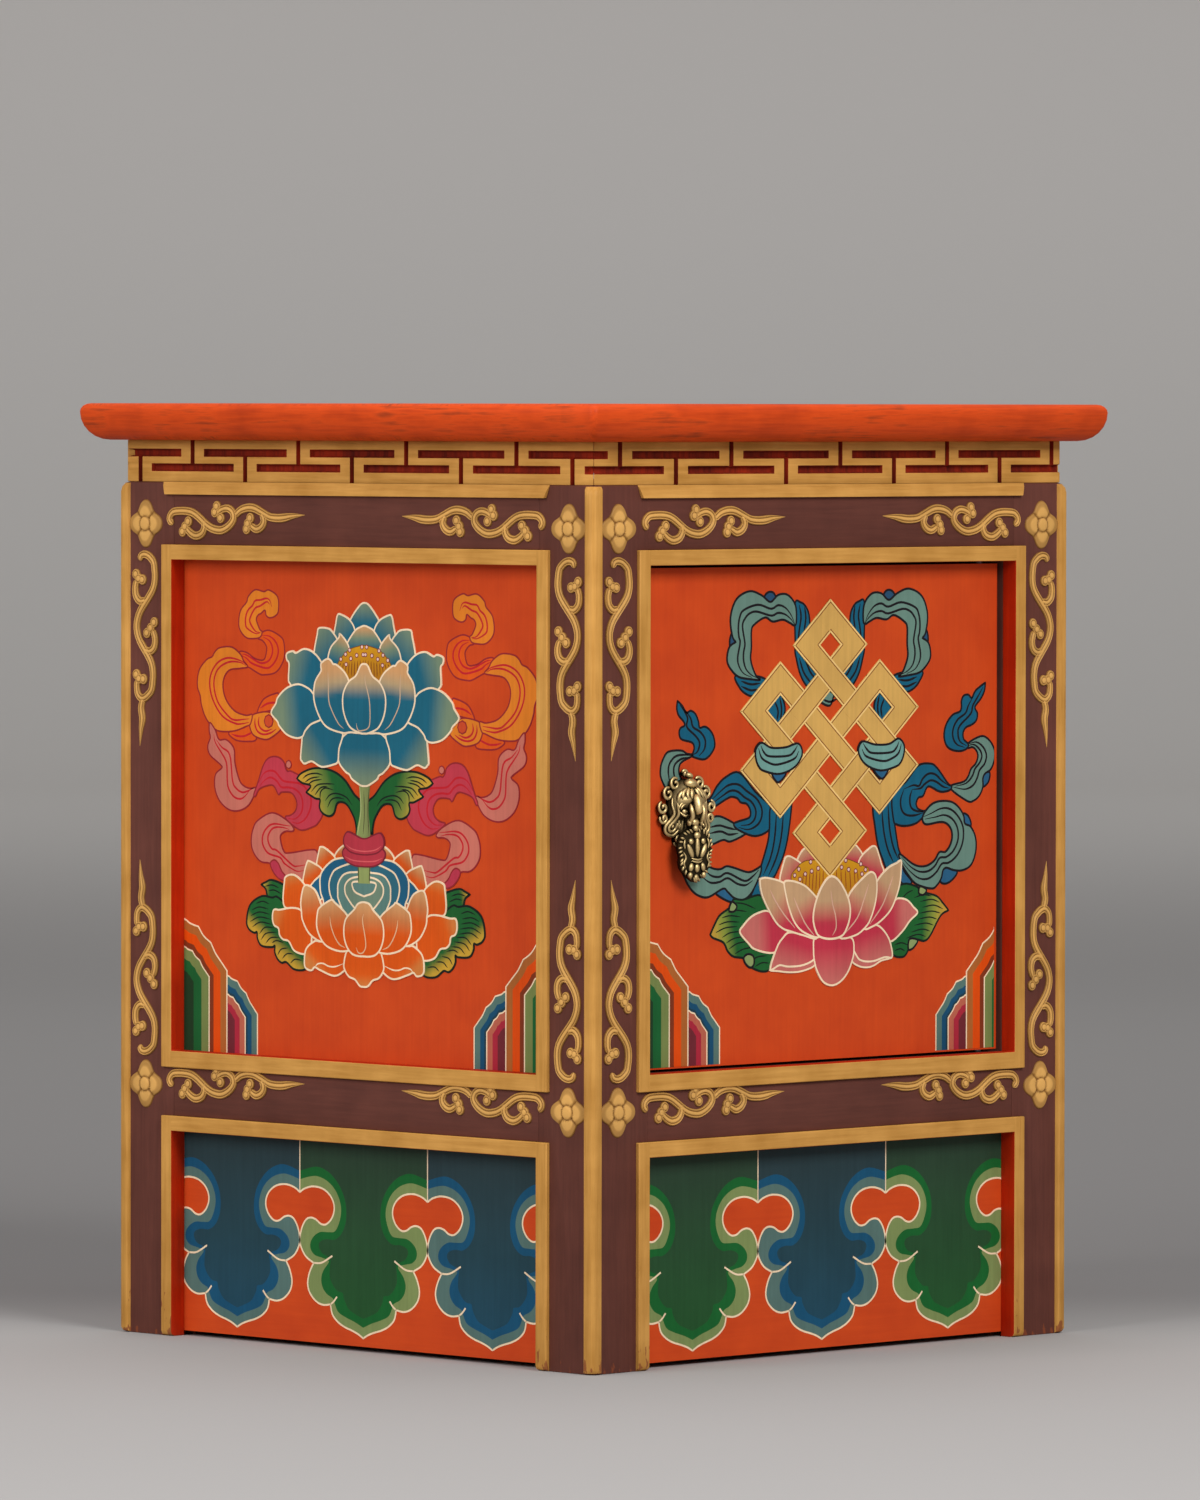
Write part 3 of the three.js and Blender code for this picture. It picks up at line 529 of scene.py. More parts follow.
# %% Films of tempera
class Painting:
    """Films on one flat face, between two jambs and above a foot. `coat` numbers the coat being laid."""

    def __init__(self, left, right, foot=SILL):
        self.left, self.right, self.foot, self.coat = left, right, foot, 1
        self.points, self.faces, self.colours, self.count = [], [], [], 0

    def film(self, flat, triangles, colours, lift=0.0):
        """A closed film: its triangles on top, the same ones turned over at the root, and a wall between
        them along each edge that only one triangle has."""
        total = len(flat)
        low, high = np.full(total, ROOT), np.full(total, (self.coat + lift) * COAT)
        edges = triangles[:, [0, 1, 1, 2, 2, 0]].reshape(-1, 2)
        rim = edges[~np.isin(edges[:, 0] * total + edges[:, 1], edges[:, 1] * total + edges[:, 0])]
        a, b = rim[:, 0], rim[:, 1]
        faces = np.concatenate([triangles, triangles[:, ::-1] + total,
                                np.stack([a + total, b + total, b], axis=-1),
                                np.stack([a + total, b, a], axis=-1)])
        across = np.clip(np.tile(flat[:, 0], 2), self.left, self.right)
        self.points.append(np.stack([across, np.tile(flat[:, 1], 2), np.concatenate([high, low])], axis=-1))
        self.faces.append(faces + self.count)
        self.colours.append(np.tile(colours, (2, 1)))
        self.count += 2 * total

    def fill(self, outline, colours, tip=(0, 0), root=(0, 1), steps=5):
        """A patch inside a closed curve, shaded from the first colour at the tip to the last at the root."""
        border = curve(outline, steps=steps)
        border[:, 0] = np.clip(border[:, 0], self.left, self.right)
        if np.ptp(border[:, 0]) < NEAR:
            return
        inside = np.empty((0, 2))
        if len(colours) > 1:
            across, up = (np.arange(low, high, GRAIN_OF_FILM)
                          for low, high in zip(border.min(axis=0), border.max(axis=0)))
            inside = np.stack(np.meshgrid(across, up), axis=-1).reshape(-1, 2)
        found = delaunay_2d_cdt(np.concatenate([border, inside]).tolist(), [],
                                [list(range(len(border)))], 1, 1e-4)
        triangles = np.array([face for face in found[2] if len(face) == 3])
        used, triangles = np.unique(triangles, return_inverse=True)
        flat = np.array([tuple(point) for point in found[0]])[used]
        way = np.array(root, float) - tip
        share = np.clip((flat - tip) @ way / (way @ way), 0, 1)
        stops = np.linspace(0, 1, len(colours))
        mixed = np.array([linear(colour) for colour in colours])
        shades = np.stack([np.interp(share, stops, mixed[:, channel]) for channel in range(4)], axis=-1)
        self.film(flat, triangles.reshape(-1, 3), shades)

    def line(self, points, colour, width, closed=False, taper=0.0, lift=0.5, steps=5):
        """A brush stroke of one width along a curve, half the width w to either side of it. A taper of t
        narrows its last share t to w / 4 at both ends."""
        path = curve(points, closed, steps)
        heading = headings(np.concatenate([path[-1:], path, path[:1]]))[1:-1] if closed else headings(path)
        side = np.stack([-heading[:, 1], heading[:, 0]], axis=-1)
        count = len(path)
        half = np.full(count, width / 2)
        if taper:
            share = np.linspace(0, 1, count)
            half *= np.interp(np.minimum(share, 1 - share), [0, taper], [0.25, 1])
        flat = np.concatenate([path + side * half[:, None], path - side * half[:, None]])
        start = np.arange(count if closed else count - 1)
        after = (start + 1) % count
        triangles = np.concatenate([np.stack([start + count, after + count, after], axis=-1),
                                    np.stack([start + count, after, start], axis=-1)])
        self.film(flat, triangles, np.tile(linear(colour), (2 * count, 1)), lift)

    def dot(self, centre, radius, colour, lift=0.5):
        """A round dab: eight points on a circle."""
        turn = np.arange(8) * math.pi / 4
        ring = np.array(centre) + radius * np.stack([np.cos(turn), np.sin(turn)], axis=-1)
        steps = np.arange(1, 7)
        triangles = np.stack([0 * steps, steps, steps + 1], axis=-1)
        self.film(ring, triangles, np.tile(linear(colour), (8, 1)), lift)

    def hang(self, name, face, body):
        """The painting as one object on a face of the cabinet."""
        u, v, out = np.concatenate(self.points).T
        mesh_object(name, face_to_world(face, u, v, out), np.concatenate(self.faces), tempera, body,
                    np.concatenate(self.colours))

# %% Patches and strokes
def mirrored(points, middle):
    """The points on the other side of a middle line."""
    return [(2 * middle - u, v) for u, v in points]


def both_sides(points, middle):
    """An outline that starts and ends on the middle line is completed by its mirror image. Any other is
    given twice, as it is and mirrored."""
    if abs(points[0][0] - middle) < 0.1 and abs(points[-1][0] - middle) < 0.1:
        return [points + mirrored(points[::-1], middle)[1:-1]]
    return [points, mirrored(points, middle)]


def shapes(paint, rows, colours, edge, width, middle=None):
    """Patches from back to front, each with its edge line. A row is an outline and, for a patch that is
    shaded, its tip and its root."""
    for outline, *shading in rows:
        for part in both_sides(outline, middle) if middle else [outline]:
            turned = middle and part[0] != outline[0]
            ends = mirrored(shading, middle) if turned else shading
            paint.fill(part, colours, *ends)
            paint.line(part, edge, width, closed=True)
        paint.coat += 1


def strokes(paint, rows, colour, width, middle=None, taper=0.2, lift=0.5):
    """Brush strokes, each a list of points."""
    for row in rows:
        for part in [row, mirrored(row, middle)] if middle else [row]:
            paint.line(part, colour, width, taper=taper, lift=lift)


tempera = painted_wood("tempera_picture_on_gesso", "#FFFFFF", "#E8E8E8", roughness=0.5, attribute="pigment")
JAMB_LEFT, JAMB_RIGHT = POST, 2 * HALF - POST

# %% [markdown]
# ## The lotus panels
# A blue lotus stands on a stem over an orange one, between two silk ribbons. The picture is symmetrical, so
# only its left half is written down. It is painted on one film, from the hills in the back to the silk tie.

# %% Colours of the lotus
MIDDLE = 203.5
CREAM, DARK, WINE = "#F4D8B4", "#16201A", "#93272C"
SLATE, TEAL, PEACH, TAN, FLESH = "#76886E", "#1D6278", "#D09A66", "#B49A74", "#C9A98A"
POLLEN, BROWN = "#D0921A", "#7A4A1C"

# %% [markdown]
# Bands of colour rise in the lower corners like hills behind each other. Every band follows the same stepped
# outline, so one outline is enough, drawn smaller and smaller.

# %% Hills in the lower corners
HILL_STEPS = [(0, 1), (0.13, 0.92), (0.33, 0.86), (0.33, 0.86), (0.45, 0.68), (0.62, 0.55), (0.62, 0.55),
              (0.73, 0.34), (0.84, 0.2), (1, 0), (1, 0)]
HILL_REACH, HILL_STEP = 156.5, 38.0


def hills(paint, middle):
    """One set rises at each jamb and a lower one beside it. A set gives its start, its wall, its top, width
    and drop, and its bands: at the share s of the width a point of the outline (a, h) lies at u = start +
    s w a and v = top - 1.06 (1 - s) w - drop s (1 - h)."""
    start = middle - HILL_REACH
    sets = [
        (start + HILL_STEP, start + HILL_STEP - 8, 218.5, 26.5, 22.5, [
            (1, CREAM), (0.965, "#56746C"), (0.79, "#174C6C"), (0.66, "#1F3E4C"), (0.6, CREAM),
            (0.565, "#B8624C"), (0.4, "#A8283A"), (0.24, "#6E2830")]),
        (start, start - 10, 251.0, 38.0, 30.0, [
            (1, CREAM), (0.975, "#AC622C"), (0.84, "#DE4C08"), (0.68, "#80351A"), (0.59, CREAM),
            (0.565, "#76844A"), (0.4, "#1A6030"), (0.22, "#1F3C24")]),
    ]
    for start, wall, top, width, drop, bands in sets:
        for share, colour in bands:
            level = top - 1.06 * (1 - share) * width
            crest = [(start + share * width * across, level - drop * share * (1 - up))
                     for across, up in HILL_STEPS]
            foot = (start + share * width, paint.foot)
            outline = sharp([(wall, paint.foot), (wall, crest[0][1])]) + crest + sharp([foot])
            for part in (outline, mirrored(outline, middle)):
                paint.fill(part, [colour], steps=3)
            paint.coat += 0.6


lotus = Painting(JAMB_LEFT, JAMB_RIGHT)
hills(lotus, MIDDLE)

# %% [markdown]
# Each loop of silk is one patch with a dark outline and stripes, laid from the back to the front.

# %% Silk ribbons
ORANGE_SILK, GOLD_SILK, PINK_SILK = "#DC5516", "#E07E24", "#C87060"
# Gold and orange above, pink and crimson below.
RIBBONS = [
    ([(114.5, 423.5), (121.5, 425), (131, 421.5), (134, 417.5), (134, 408.5), (127.5, 400.5), (117.5, 398.5),
      (112.5, 399), (104, 402.5), (99, 404), (95, 411.5), (101.5, 411.5), (109, 408), (116.5, 407.5),
      (119, 413.5), (118, 416.5), (115, 419), (111.5, 420)],
     [[(116, 421), (121, 419), (123.5, 416), (124, 412), (121.5, 407.5), (116.5, 405.5), (111.5, 406),
      (101.5, 410), (97.5, 410.5)], [(115, 422), (121.5, 421.5), (126.5, 418.5), (129, 414), (128, 409),
      (124, 404.5), (118.5, 402.5), (106.5, 405), (101.5, 408), (97.5, 409.5)]], ORANGE_SILK),
    ([(113.5, 421), (109, 420), (101, 420.5), (95, 426.5), (96, 436), (101.5, 441.5), (103, 445), (109, 449),
      (116.5, 448), (121, 449), (128.5, 445), (129, 436.5), (126, 433.5), (121.5, 432.5), (118.5, 434),
      (117.5, 437), (114, 435), (111.5, 434), (110, 431), (113, 425.5), (115, 424)],
     [[(123.5, 439), (121.5, 443), (118.5, 444), (113.5, 443), (109, 442.5), (106.5, 439.5), (103, 437),
      (101, 433.5), (100.5, 429), (102, 426), (109, 423), (114, 423.5)], [(121.5, 440.5), (119, 442),
      (113.5, 439.5), (109, 438), (105, 433), (104.5, 429.5), (109, 424.5), (113.5, 423.5)]], GOLD_SILK),
    ([(86, 362.5), (92.5, 359), (102.5, 358.5), (110, 360), (108, 368.5), (95, 365.5), (88.5, 364.5)],
     [[(88.5, 362.5), (93.5, 361.5), (99, 361.5), (104, 363), (106.5, 364)]], ORANGE_SILK),
    ([(111, 376.5), (116.5, 384), (126.5, 387.5), (129.5, 387), (128, 380), (126, 379), (123.5, 377.5),
      (113.5, 376)],
     [[(113.5, 378.5), (118.5, 381), (123.5, 382), (128.5, 382)]], ORANGE_SILK),
    ([(105, 372.5), (108.5, 375), (118.5, 376.5), (125, 375), (131, 369), (131, 366), (123.5, 361.5),
      (117.5, 360), (107.5, 362.5), (104, 369)],
     [[(109, 372.5), (109, 368.5), (111.5, 364.5), (116.5, 363), (122.5, 364), (127.5, 366.5)],
      [(112.5, 373.5), (112, 369.5), (114, 366.5), (118.5, 365), (124, 366.5)]], GOLD_SILK),
    ([(102.5, 403), (99, 406.5), (96, 410.5), (88.5, 414.5), (78.5, 414), (74, 411.5), (71.5, 408.5),
      (66.5, 406.5), (60, 400), (58.5, 391), (61, 385), (62, 380), (64.5, 374), (68.5, 369), (73.5, 365.5),
      (79, 364), (91, 364.5), (101.5, 367.5), (105, 369), (106.5, 374.5), (101, 374), (91, 376.5), (83, 384),
      (81, 393.5), (86, 400.5), (96.5, 402)],
     [[(101.5, 404), (96.5, 406.5), (85, 408), (75, 404), (69.5, 395), (71.5, 384), (80, 373.5), (91.5, 369),
      (98.5, 369), (104, 370)], [(101, 403.5), (96, 405.5), (86, 405.5), (76.5, 401), (73, 392.5),
      (76.5, 381.5), (86, 373), (91.5, 371), (98.5, 371.5), (104, 372)]], GOLD_SILK),
    ([(69.5, 369), (69, 364), (70, 360), (68, 356), (68, 352.5), (70.5, 349), (79, 344), (80, 342),
      (74.5, 338), (74, 330), (78, 322.5), (86, 317.5), (95, 317), (104, 321), (110, 330.5), (105, 330.5),
      (100, 331.5), (95.5, 335), (91.5, 345), (90.5, 354), (84, 359), (77.5, 359), (74, 365)],
     [[(73, 362), (74.5, 357), (82.5, 348), (84.5, 343), (85, 333), (87, 328.5), (91, 325), (96, 324),
      (100, 325.5), (104, 329)], [(75, 359), (80, 354.5), (87, 350), (89.5, 334.5), (93, 330), (98, 328),
      (103, 329), (108, 331)]], PINK_SILK),
    ([(108, 327), (111, 333), (116, 344), (120, 348.5), (125, 350), (130, 349.5), (134, 347), (135.5, 343.5),
      (137.5, 341.5), (141, 341.5), (156, 336), (163, 330), (167.5, 318), (163.5, 311.5), (158.5, 309),
      (148.5, 307), (138.5, 311.5), (135.5, 314.5), (140, 315.5), (144, 318), (145.5, 322), (144, 326),
      (140, 329), (132, 329), (129.5, 327.5), (126, 332), (122, 333), (113, 330.5), (109.5, 326)],
     [[(112, 334), (116.5, 339.5), (121.5, 341.5), (126.5, 341), (131, 337.5), (135, 335.5), (148, 334.5),
      (154, 331), (157.5, 326), (157, 320), (153, 314), (147, 311), (141, 311.5)], [(113, 332), (118, 336),
      (123, 337.5), (128, 335.5), (132, 332), (138, 332), (144, 331), (149, 327.5), (150.5, 322), (149, 317),
      (144, 313.5), (138, 313.5)]], "#BE3A48"),
    ([(142.5, 308), (136.5, 312.5), (124, 316.5), (111.5, 311.5), (107.5, 306.5), (106, 301), (106.5, 295),
      (110, 290), (115, 287), (121.5, 286.5), (126, 284), (132.5, 277), (150, 276), (165, 284), (163, 294),
      (157.5, 295.5), (139, 293), (134, 294), (131, 301.5), (132.5, 304.5), (136.5, 306), (141.5, 306)],
     [[(140, 309), (133.5, 309.5), (126.5, 310), (121, 308.5), (116.5, 304), (115.5, 299), (117.5, 295),
      (121.5, 292), (131, 290), (135, 286.5), (145, 282.5), (151.5, 283)], [(139, 307), (133.5, 308),
      (127.5, 308), (123.5, 306.5), (120.5, 302.5), (121, 298.5), (124, 295), (128.5, 294), (141.5, 286),
      (146.5, 285.5), (153.5, 286.5)]], PINK_SILK),
    ([(122.5, 286.5), (126, 288.5), (129.5, 286.5), (132.5, 282), (137, 278), (134, 276.5), (129, 278),
      (124.5, 282)], [], "#B8364A"),
]

lotus.coat = 1
# Every loop with its mirror image, and the round knots where loops meet.
for outline, stripes, colour in RIBBONS:
    for part in both_sides(outline, MIDDLE):
        lotus.fill(part, [colour])
        lotus.line(part, WINE, 0.95, closed=True)
    strokes(lotus, stripes, "#C01F2A", 1.2, MIDDLE)
    lotus.coat += 1
knots = (((121, 371), 4.2, 3.4, "#CB4A27"), ((138.3, 345.6), 2.7, 2.0, PINK_SILK))
for centre, rim, core, colour in knots:
    for place in (centre, *mirrored([centre], MIDDLE)):
        lotus.dot(place, rim, WINE)
        lotus.dot(place, core, colour, 0.7)

# %% Stem and leaves
LEAF_YELLOW, LEAF_GREEN = "#C89C34", "#1E5E2C"
REED, REED_EDGE = "#8E9A5C", "#4A4A2C"
lotus.coat = 12

# A leaf on each side with its veins, and the stem between them.
shapes(lotus, [
    ([(145.5, 337.5), (145.5, 337.5), (150, 341), (161, 344), (175, 343), (186, 338), (194.5, 329.5),
      (201, 324), (200, 312), (197, 306), (196.5, 310), (194.5, 316), (188, 323.5), (180.5, 324),
      (177.5, 318), (174, 316), (170, 316.5), (166.5, 318.5), (165, 321.5), (165.5, 325.5), (162, 326),
      (158, 327.5), (153.5, 329.5), (153.5, 329.5), (157.5, 333.5), (150, 335)], (157, 328), (176, 336)),
], [LEAF_YELLOW, "#7E8A3A", LEAF_GREEN], DARK, 1.3, MIDDLE)
strokes(lotus, [
    [(150.5, 337.5), (155, 340), (162, 341), (168, 340)], [(152.5, 335.5), (158, 338), (165, 339)],
    [(155.5, 334.5), (160, 336.5), (167, 337.5)], [(158, 330), (163, 334), (170, 335), (178, 335)],
    [(161, 328), (166, 332.5), (172, 333.5)], [(165.5, 325.5), (166, 330), (170, 332.5), (177, 331.5)],
    [(170, 325), (174, 328.5), (180, 329.5), (188, 327.5), (193, 323)],
    [(172, 321), (175, 325.5), (180, 327), (186, 326.5)],
], DARK, 0.9, MIDDLE, lift=-0.4)
lotus.fill(sharp([(199, 335), (208, 335)]) + [(207, 320), (208, 304), (197, 304), (200, 320)],
           [REED, "#7C8450"], (198, 320), (208, 320))
strokes(lotus, [[(199.5, 334), (200.5, 320), (197.5, 305)]], "#B2BE7C", 0.7)
strokes(lotus, [[(207.5, 334), (206.5, 320), (207.5, 305)], [(203, 332), (203.5, 318), (202.5, 306)]],
        REED_EDGE, 0.6)
lotus.coat += 1

# %% The blue lotus
def stamens(paint, places, rim, core):
    """Pale dots on dark ones: the heads of the stamens."""
    for place in places:
        paint.dot(place, rim, "#7C2A30", 0.7)
        paint.dot(place, core, "#E8C0B4", 0.9)


lotus.coat = 12

# Petals from the back to the front, with the seed head between them.
shapes(lotus, [
    ([(203.5, 442.5), (199.5, 441), (193, 434.5), (190.5, 430), (190, 422), (203.5, 420)], (203, 441),
      (203, 431)),
    ([(190.5, 432.5), (183, 435.5), (180.5, 435), (179, 430), (177, 418), (186, 414), (195, 420),
      (195, 427)], (181, 435), (189, 422)),
    ([(181, 419), (176, 425), (172, 427), (164.5, 427), (163, 423), (160.5, 413.5), (160, 407), (170, 403),
      (180, 410)], (165, 427), (175, 412)),
], [SLATE, TEAL], CREAM, 1.1, MIDDLE)
shapes(lotus, [
    ([(203.5, 429), (199.5, 428), (195.5, 426), (189.5, 419.5), (187, 414), (187, 406), (203.5, 404)],
      (203, 428), (203, 416)),
    ([(190.5, 415), (188, 419.5), (182.5, 424), (181.5, 421.5), (174, 414.5), (172, 402), (180, 398),
      (190, 406)], (182, 424), (178, 408)),
], [PEACH, SLATE, TEAL], CREAM, 1.1, MIDDLE)
shapes(lotus, [
    ([(203.5, 417.5), (199, 417), (190, 414.5), (182, 408), (180, 402), (186, 394), (203.5, 392)],
      (200, 417), (200, 396)),
], [POLLEN, "#A86A16"], BROWN, 0.5, MIDDLE)
strokes(lotus, [[(u, 397 + 0.02 * (203 - u) ** 2), (MIDDLE + 0.96 * (u - MIDDLE), 409 - (203 - u) * 0.12)]
                for u in (182.5, 185, 187.5, 190, 192.5, 195, 197.5, 200, 202.5)],
        "#7A3E1A", 0.6, MIDDLE)
heads = [(183.5, 409), (187.5, 412), (191, 414.5), (201.5, 416.5), (188, 406), (192, 409.5), (197, 411.5),
         (202.5, 412)]
stamens(lotus, heads + mirrored(heads, MIDDLE), 1.5, 0.95)
shapes(lotus, [
    ([(203.5, 334.5), (200, 335), (193, 338.5), (191, 341), (187, 343), (181.5, 349), (182.5, 359),
      (185, 363), (194, 368), (203.5, 370)], (203, 338), (203, 356)),
    ([(150.5, 362.5), (153, 366), (161, 371.5), (175, 374), (185, 366), (182, 356), (181, 348.5),
      (177, 346.5), (169, 345), (165, 345.5), (158.5, 348), (152.5, 346.5), (150, 348), (149, 350),
      (150, 359)], (153, 349), (166, 360)),
    ([(167, 406.5), (160, 412.5), (152, 414.5), (145, 412), (142, 413), (137, 411.5), (137, 408),
      (139, 405.5), (138.5, 397), (140, 393.5), (150, 386), (163, 386), (168, 400)], (140, 408), (156, 402)),
    ([(160, 388), (156, 391), (147, 393.5), (137, 391), (129.5, 385.5), (127.5, 381.5), (123.5, 376),
      (129, 371), (130.5, 368.5), (137, 363.5), (145, 361.5), (150.5, 362.5), (153, 366), (158, 370),
      (168, 374), (168, 382)], (133, 378), (148, 380)),
], [SLATE, TEAL], CREAM, 1.15, MIDDLE)
shapes(lotus, [
    ([(167, 406.5), (172, 409), (175, 408), (177, 406), (180, 405.5), (187, 401), (191, 394), (191, 380),
      (196, 370), (200, 366), (192, 366), (185, 365.5), (172, 368.5), (165, 375), (160.5, 385), (161.5, 395),
      (166.5, 401.5), (166.5, 404)], (175, 402), (178, 380)),
], [PEACH, TAN, TEAL, TEAL], CREAM, 1.15, MIDDLE)
strokes(lotus, [[(172.5, 401), (173, 393), (173, 387), (174.5, 381), (181, 371.5), (186, 368)]],
        FLESH, 0.8, MIDDLE, lift=-0.4)
shapes(lotus, [
    ([(203.5, 406.5), (200.5, 405.5), (196.5, 399.5), (190, 395.5), (185.5, 388), (186, 378), (191, 369.5),
      (199, 366), (203.5, 365.5)], (203, 404), (203, 378)),
], [PEACH, TAN, TEAL, TEAL], CREAM, 1.15, MIDDLE)
strokes(lotus, [[(204.5, 400), (204.5, 396), (208, 385), (208.5, 373), (206.5, 368.5), (199.5, 367),
                 (197.5, 369), (197, 371.5)]],
        FLESH, 0.8, lift=-0.4)

# %% Leaves below
lotus.coat = 11

# The leaves under the orange lotus, with their veins.
shapes(lotus, [
    ([(114.5, 273.5), (114.5, 273.5), (118.5, 275), (123.5, 276.5), (132.5, 274.5), (138, 272), (138, 262),
      (126, 258), (122.5, 263.5), (120, 266.5), (118.5, 271)], (116, 273), (127, 270)),
    ([(124, 266), (115, 266.5), (105, 261), (102, 251), (104, 246.5), (108.5, 244.5), (111, 245),
      (111.5, 241), (115, 237), (124, 236.5), (126.5, 237.5), (126.5, 233.5), (129, 229.5), (132.5, 227.5),
      (136.5, 228), (143.5, 224), (154, 225), (162, 235), (145, 255), (130, 266)], (110, 246),
      (117.14, 258.04)),
], [LEAF_YELLOW, LEAF_GREEN, LEAF_GREEN], DARK, 1.3, MIDDLE)
strokes(lotus, [
    [(118, 272.5), (124, 273.5), (130, 272)], [(121, 270), (126, 270.5), (132, 268.5)],
    [(110, 262), (116, 263.5), (122, 262)], [(106.5, 258), (113, 260), (121, 259)],
    [(105.5, 254.5), (113, 257), (122, 256)], [(105, 251), (113, 254), (123, 253)],
    [(107, 248), (114, 251), (124, 250)], [(113, 244), (118, 248), (126, 248)],
    [(114.5, 240.5), (119, 244.5), (128, 245.5)], [(118.5, 238.5), (123, 242), (130, 242.5)],
    [(124, 239), (128, 240.5), (134, 239.5)], [(129, 232), (132, 235.5), (138, 236.5)],
    [(133, 230), (137, 233), (143, 233)], [(140, 227.5), (144, 230), (150, 229.5)],
], DARK, 0.8, MIDDLE, lift=-0.4)

# %% The orange lotus
FLAME = "#D85410"

# The seed head in five rings, the petals behind and round it, and the cup in front.
middle_petals = [PEACH, "#C87844", FLAME, FLAME]
shapes(lotus, [
    ([(178, 290), (179.5, 294.5), (186, 299), (193, 299), (192, 288), (182, 286)], (184, 298), (184, 290)),
    ([(163, 286), (163.5, 291), (165.5, 297.5), (165.5, 297.5), (169.5, 297), (178.5, 291.5), (180, 284),
      (168, 279)], (166, 297), (173, 286)),
    ([(151.5, 275), (152, 281.5), (153.5, 286), (155, 289), (155, 289), (159, 288), (167.5, 284), (172, 274),
      (160, 268)], (156, 288), (162, 276)),
], middle_petals, CREAM, 1.1, MIDDLE)
shapes(lotus, [
    ([(157, 272), (160, 276.5), (163.5, 279), (167, 280.5), (172, 275), (166, 266)],),
], ["#1F5C7C"], CREAM, 1.05, MIDDLE)
for outline, colours in [
    ([(203.5, 292), (184.5, 291.5), (175, 289), (166.5, 281.5), (166, 271.5), (168.5, 266), (172, 258),
      (203.5, 255)], ["#1F5C7C"]),
    ([(203.5, 289.5), (194, 289), (180, 285), (175.5, 281), (173.5, 276), (174, 271), (176, 266.5),
      (180, 258), (203.5, 255)], ["#2F6678"]),
    ([(203.5, 284), (196.5, 283.5), (190, 283), (185, 281), (181.5, 276.5), (181, 271.5), (182, 266),
      (190, 256), (203.5, 255)], ["#5C8078"]),
    ([(203.5, 281), (196, 280.5), (191, 279), (188, 276.5), (187, 273.5), (188.5, 269), (196, 262),
      (203.5, 260)], ["#6F8672"]),
    ([(203.5, 278), (194, 277.5), (194, 274), (196.5, 271.5), (201.5, 270), (203.5, 269.5)],
     ["#5C8078"]),
]:
    shapes(lotus, [(outline,)], colours, CREAM, 1.15, MIDDLE)
lotus.fill(sharp([(198, 289), (209, 289), (208.5, 277), (198.5, 277)]), [REED], steps=2)
strokes(lotus, [[(198.5, 288), (199, 277.5)], [(208.5, 288), (208, 277.5)]], REED_EDGE, 0.8)
lotus.coat += 1
shapes(lotus, [
    ([(149.5, 259), (146, 260), (141.5, 260.5), (136, 260.5), (134, 265), (135, 275), (136.5, 279),
      (144, 280), (153, 274), (157, 264)], (140, 279), (144, 262)),
    ([(125, 256.5), (126.5, 259), (131, 259), (141.5, 260.5), (150, 259), (158, 250), (158, 238),
      (153.5, 233.5), (144, 235), (139, 240.5), (134, 241.5), (131, 244), (130, 248), (126.5, 249.5),
      (125, 252.5)], (128, 256), (148, 246)),
    ([(166.5, 241.5), (161.5, 241.5), (154, 236.5), (152.5, 228.5), (154, 225), (158.5, 224), (161.5, 226),
      (166, 224.5), (178.5, 221.5), (187.5, 225.5), (192, 231), (190, 240), (178, 244)], (165, 224),
      (174, 236)),
    ([(203.5, 216), (200, 216.5), (196, 220), (191, 221.5), (187.5, 225), (186.5, 229), (189.5, 237.5),
      (196, 240), (203.5, 241)], (203, 217), (203, 234)),
], ["#D07A3A", "#DA5A14", FLAME, FLAME], CREAM, 1.15, MIDDLE)
shapes(lotus, [
    ([(150, 259), (149.5, 265), (152.5, 274), (159.5, 273), (163.5, 269.5), (166.5, 264), (171, 256),
      (170, 244), (166, 241.5), (156.5, 246), (151, 253.5)], (156, 273), (160, 248)),
    ([(170, 264), (176, 266.5), (178.5, 265), (189, 258), (194, 248), (194, 240), (191, 237), (181, 236.5),
      (170, 240), (163.5, 249), (164, 259), (166.5, 262)], (175, 265), (178, 240)),
    ([(203.5, 266), (200, 265.5), (197.5, 264), (195.5, 261.5), (189, 256.5), (187, 252.5), (186.5, 247.5),
      (187.5, 242.5), (190, 238), (194, 235), (199, 234), (203.5, 234)], (203, 264), (203, 238)),
], middle_petals, CREAM, 1.15, MIDDLE)
strokes(lotus, [[(174.5, 256.5), (175.5, 251), (178.5, 245), (182.5, 240.5), (187.5, 238.5)]],
        "#E0B48A", 0.8, MIDDLE, lift=-1.4)
strokes(lotus, [[(203.5, 259), (202.5, 255), (205, 244), (205, 239), (202.5, 236), (199, 236),
                 (197, 239)]], "#E0B48A", 0.8, lift=-0.4)
strokes(lotus, [[(161.5, 226), (164, 228), (168.5, 228.5), (173.5, 227), (179, 227),
                 (186, 229)]], CREAM, 0.9, MIDDLE, lift=-3.4)

# %% The silk tie
# Two turns of red silk where the stem meets the orange lotus.
for outline in [
    [(203.5, 287), (195, 287.5), (188.5, 290), (185.5, 293.5), (186, 296.5), (190, 298), (203.5, 296)],
    [(203.5, 303.5), (200, 304), (191.5, 307), (188.5, 306.5), (186.5, 303.5), (186.5, 300),
     (188.5, 297.5), (193.5, 295), (203.5, 294)],
]:
    shapes(lotus, [(outline,)], ["#B43542"], "#7E2430", 0.9, MIDDLE)
strokes(lotus, [[(188.5, 299.5), (194, 297), (203.5, 296), (213, 297), (218.5, 299.5)],
                [(187.5, 292.5), (194, 290.5), (203.5, 290), (213, 290.5), (219.5, 292.5)]],
        "#D65A5E", 0.8)

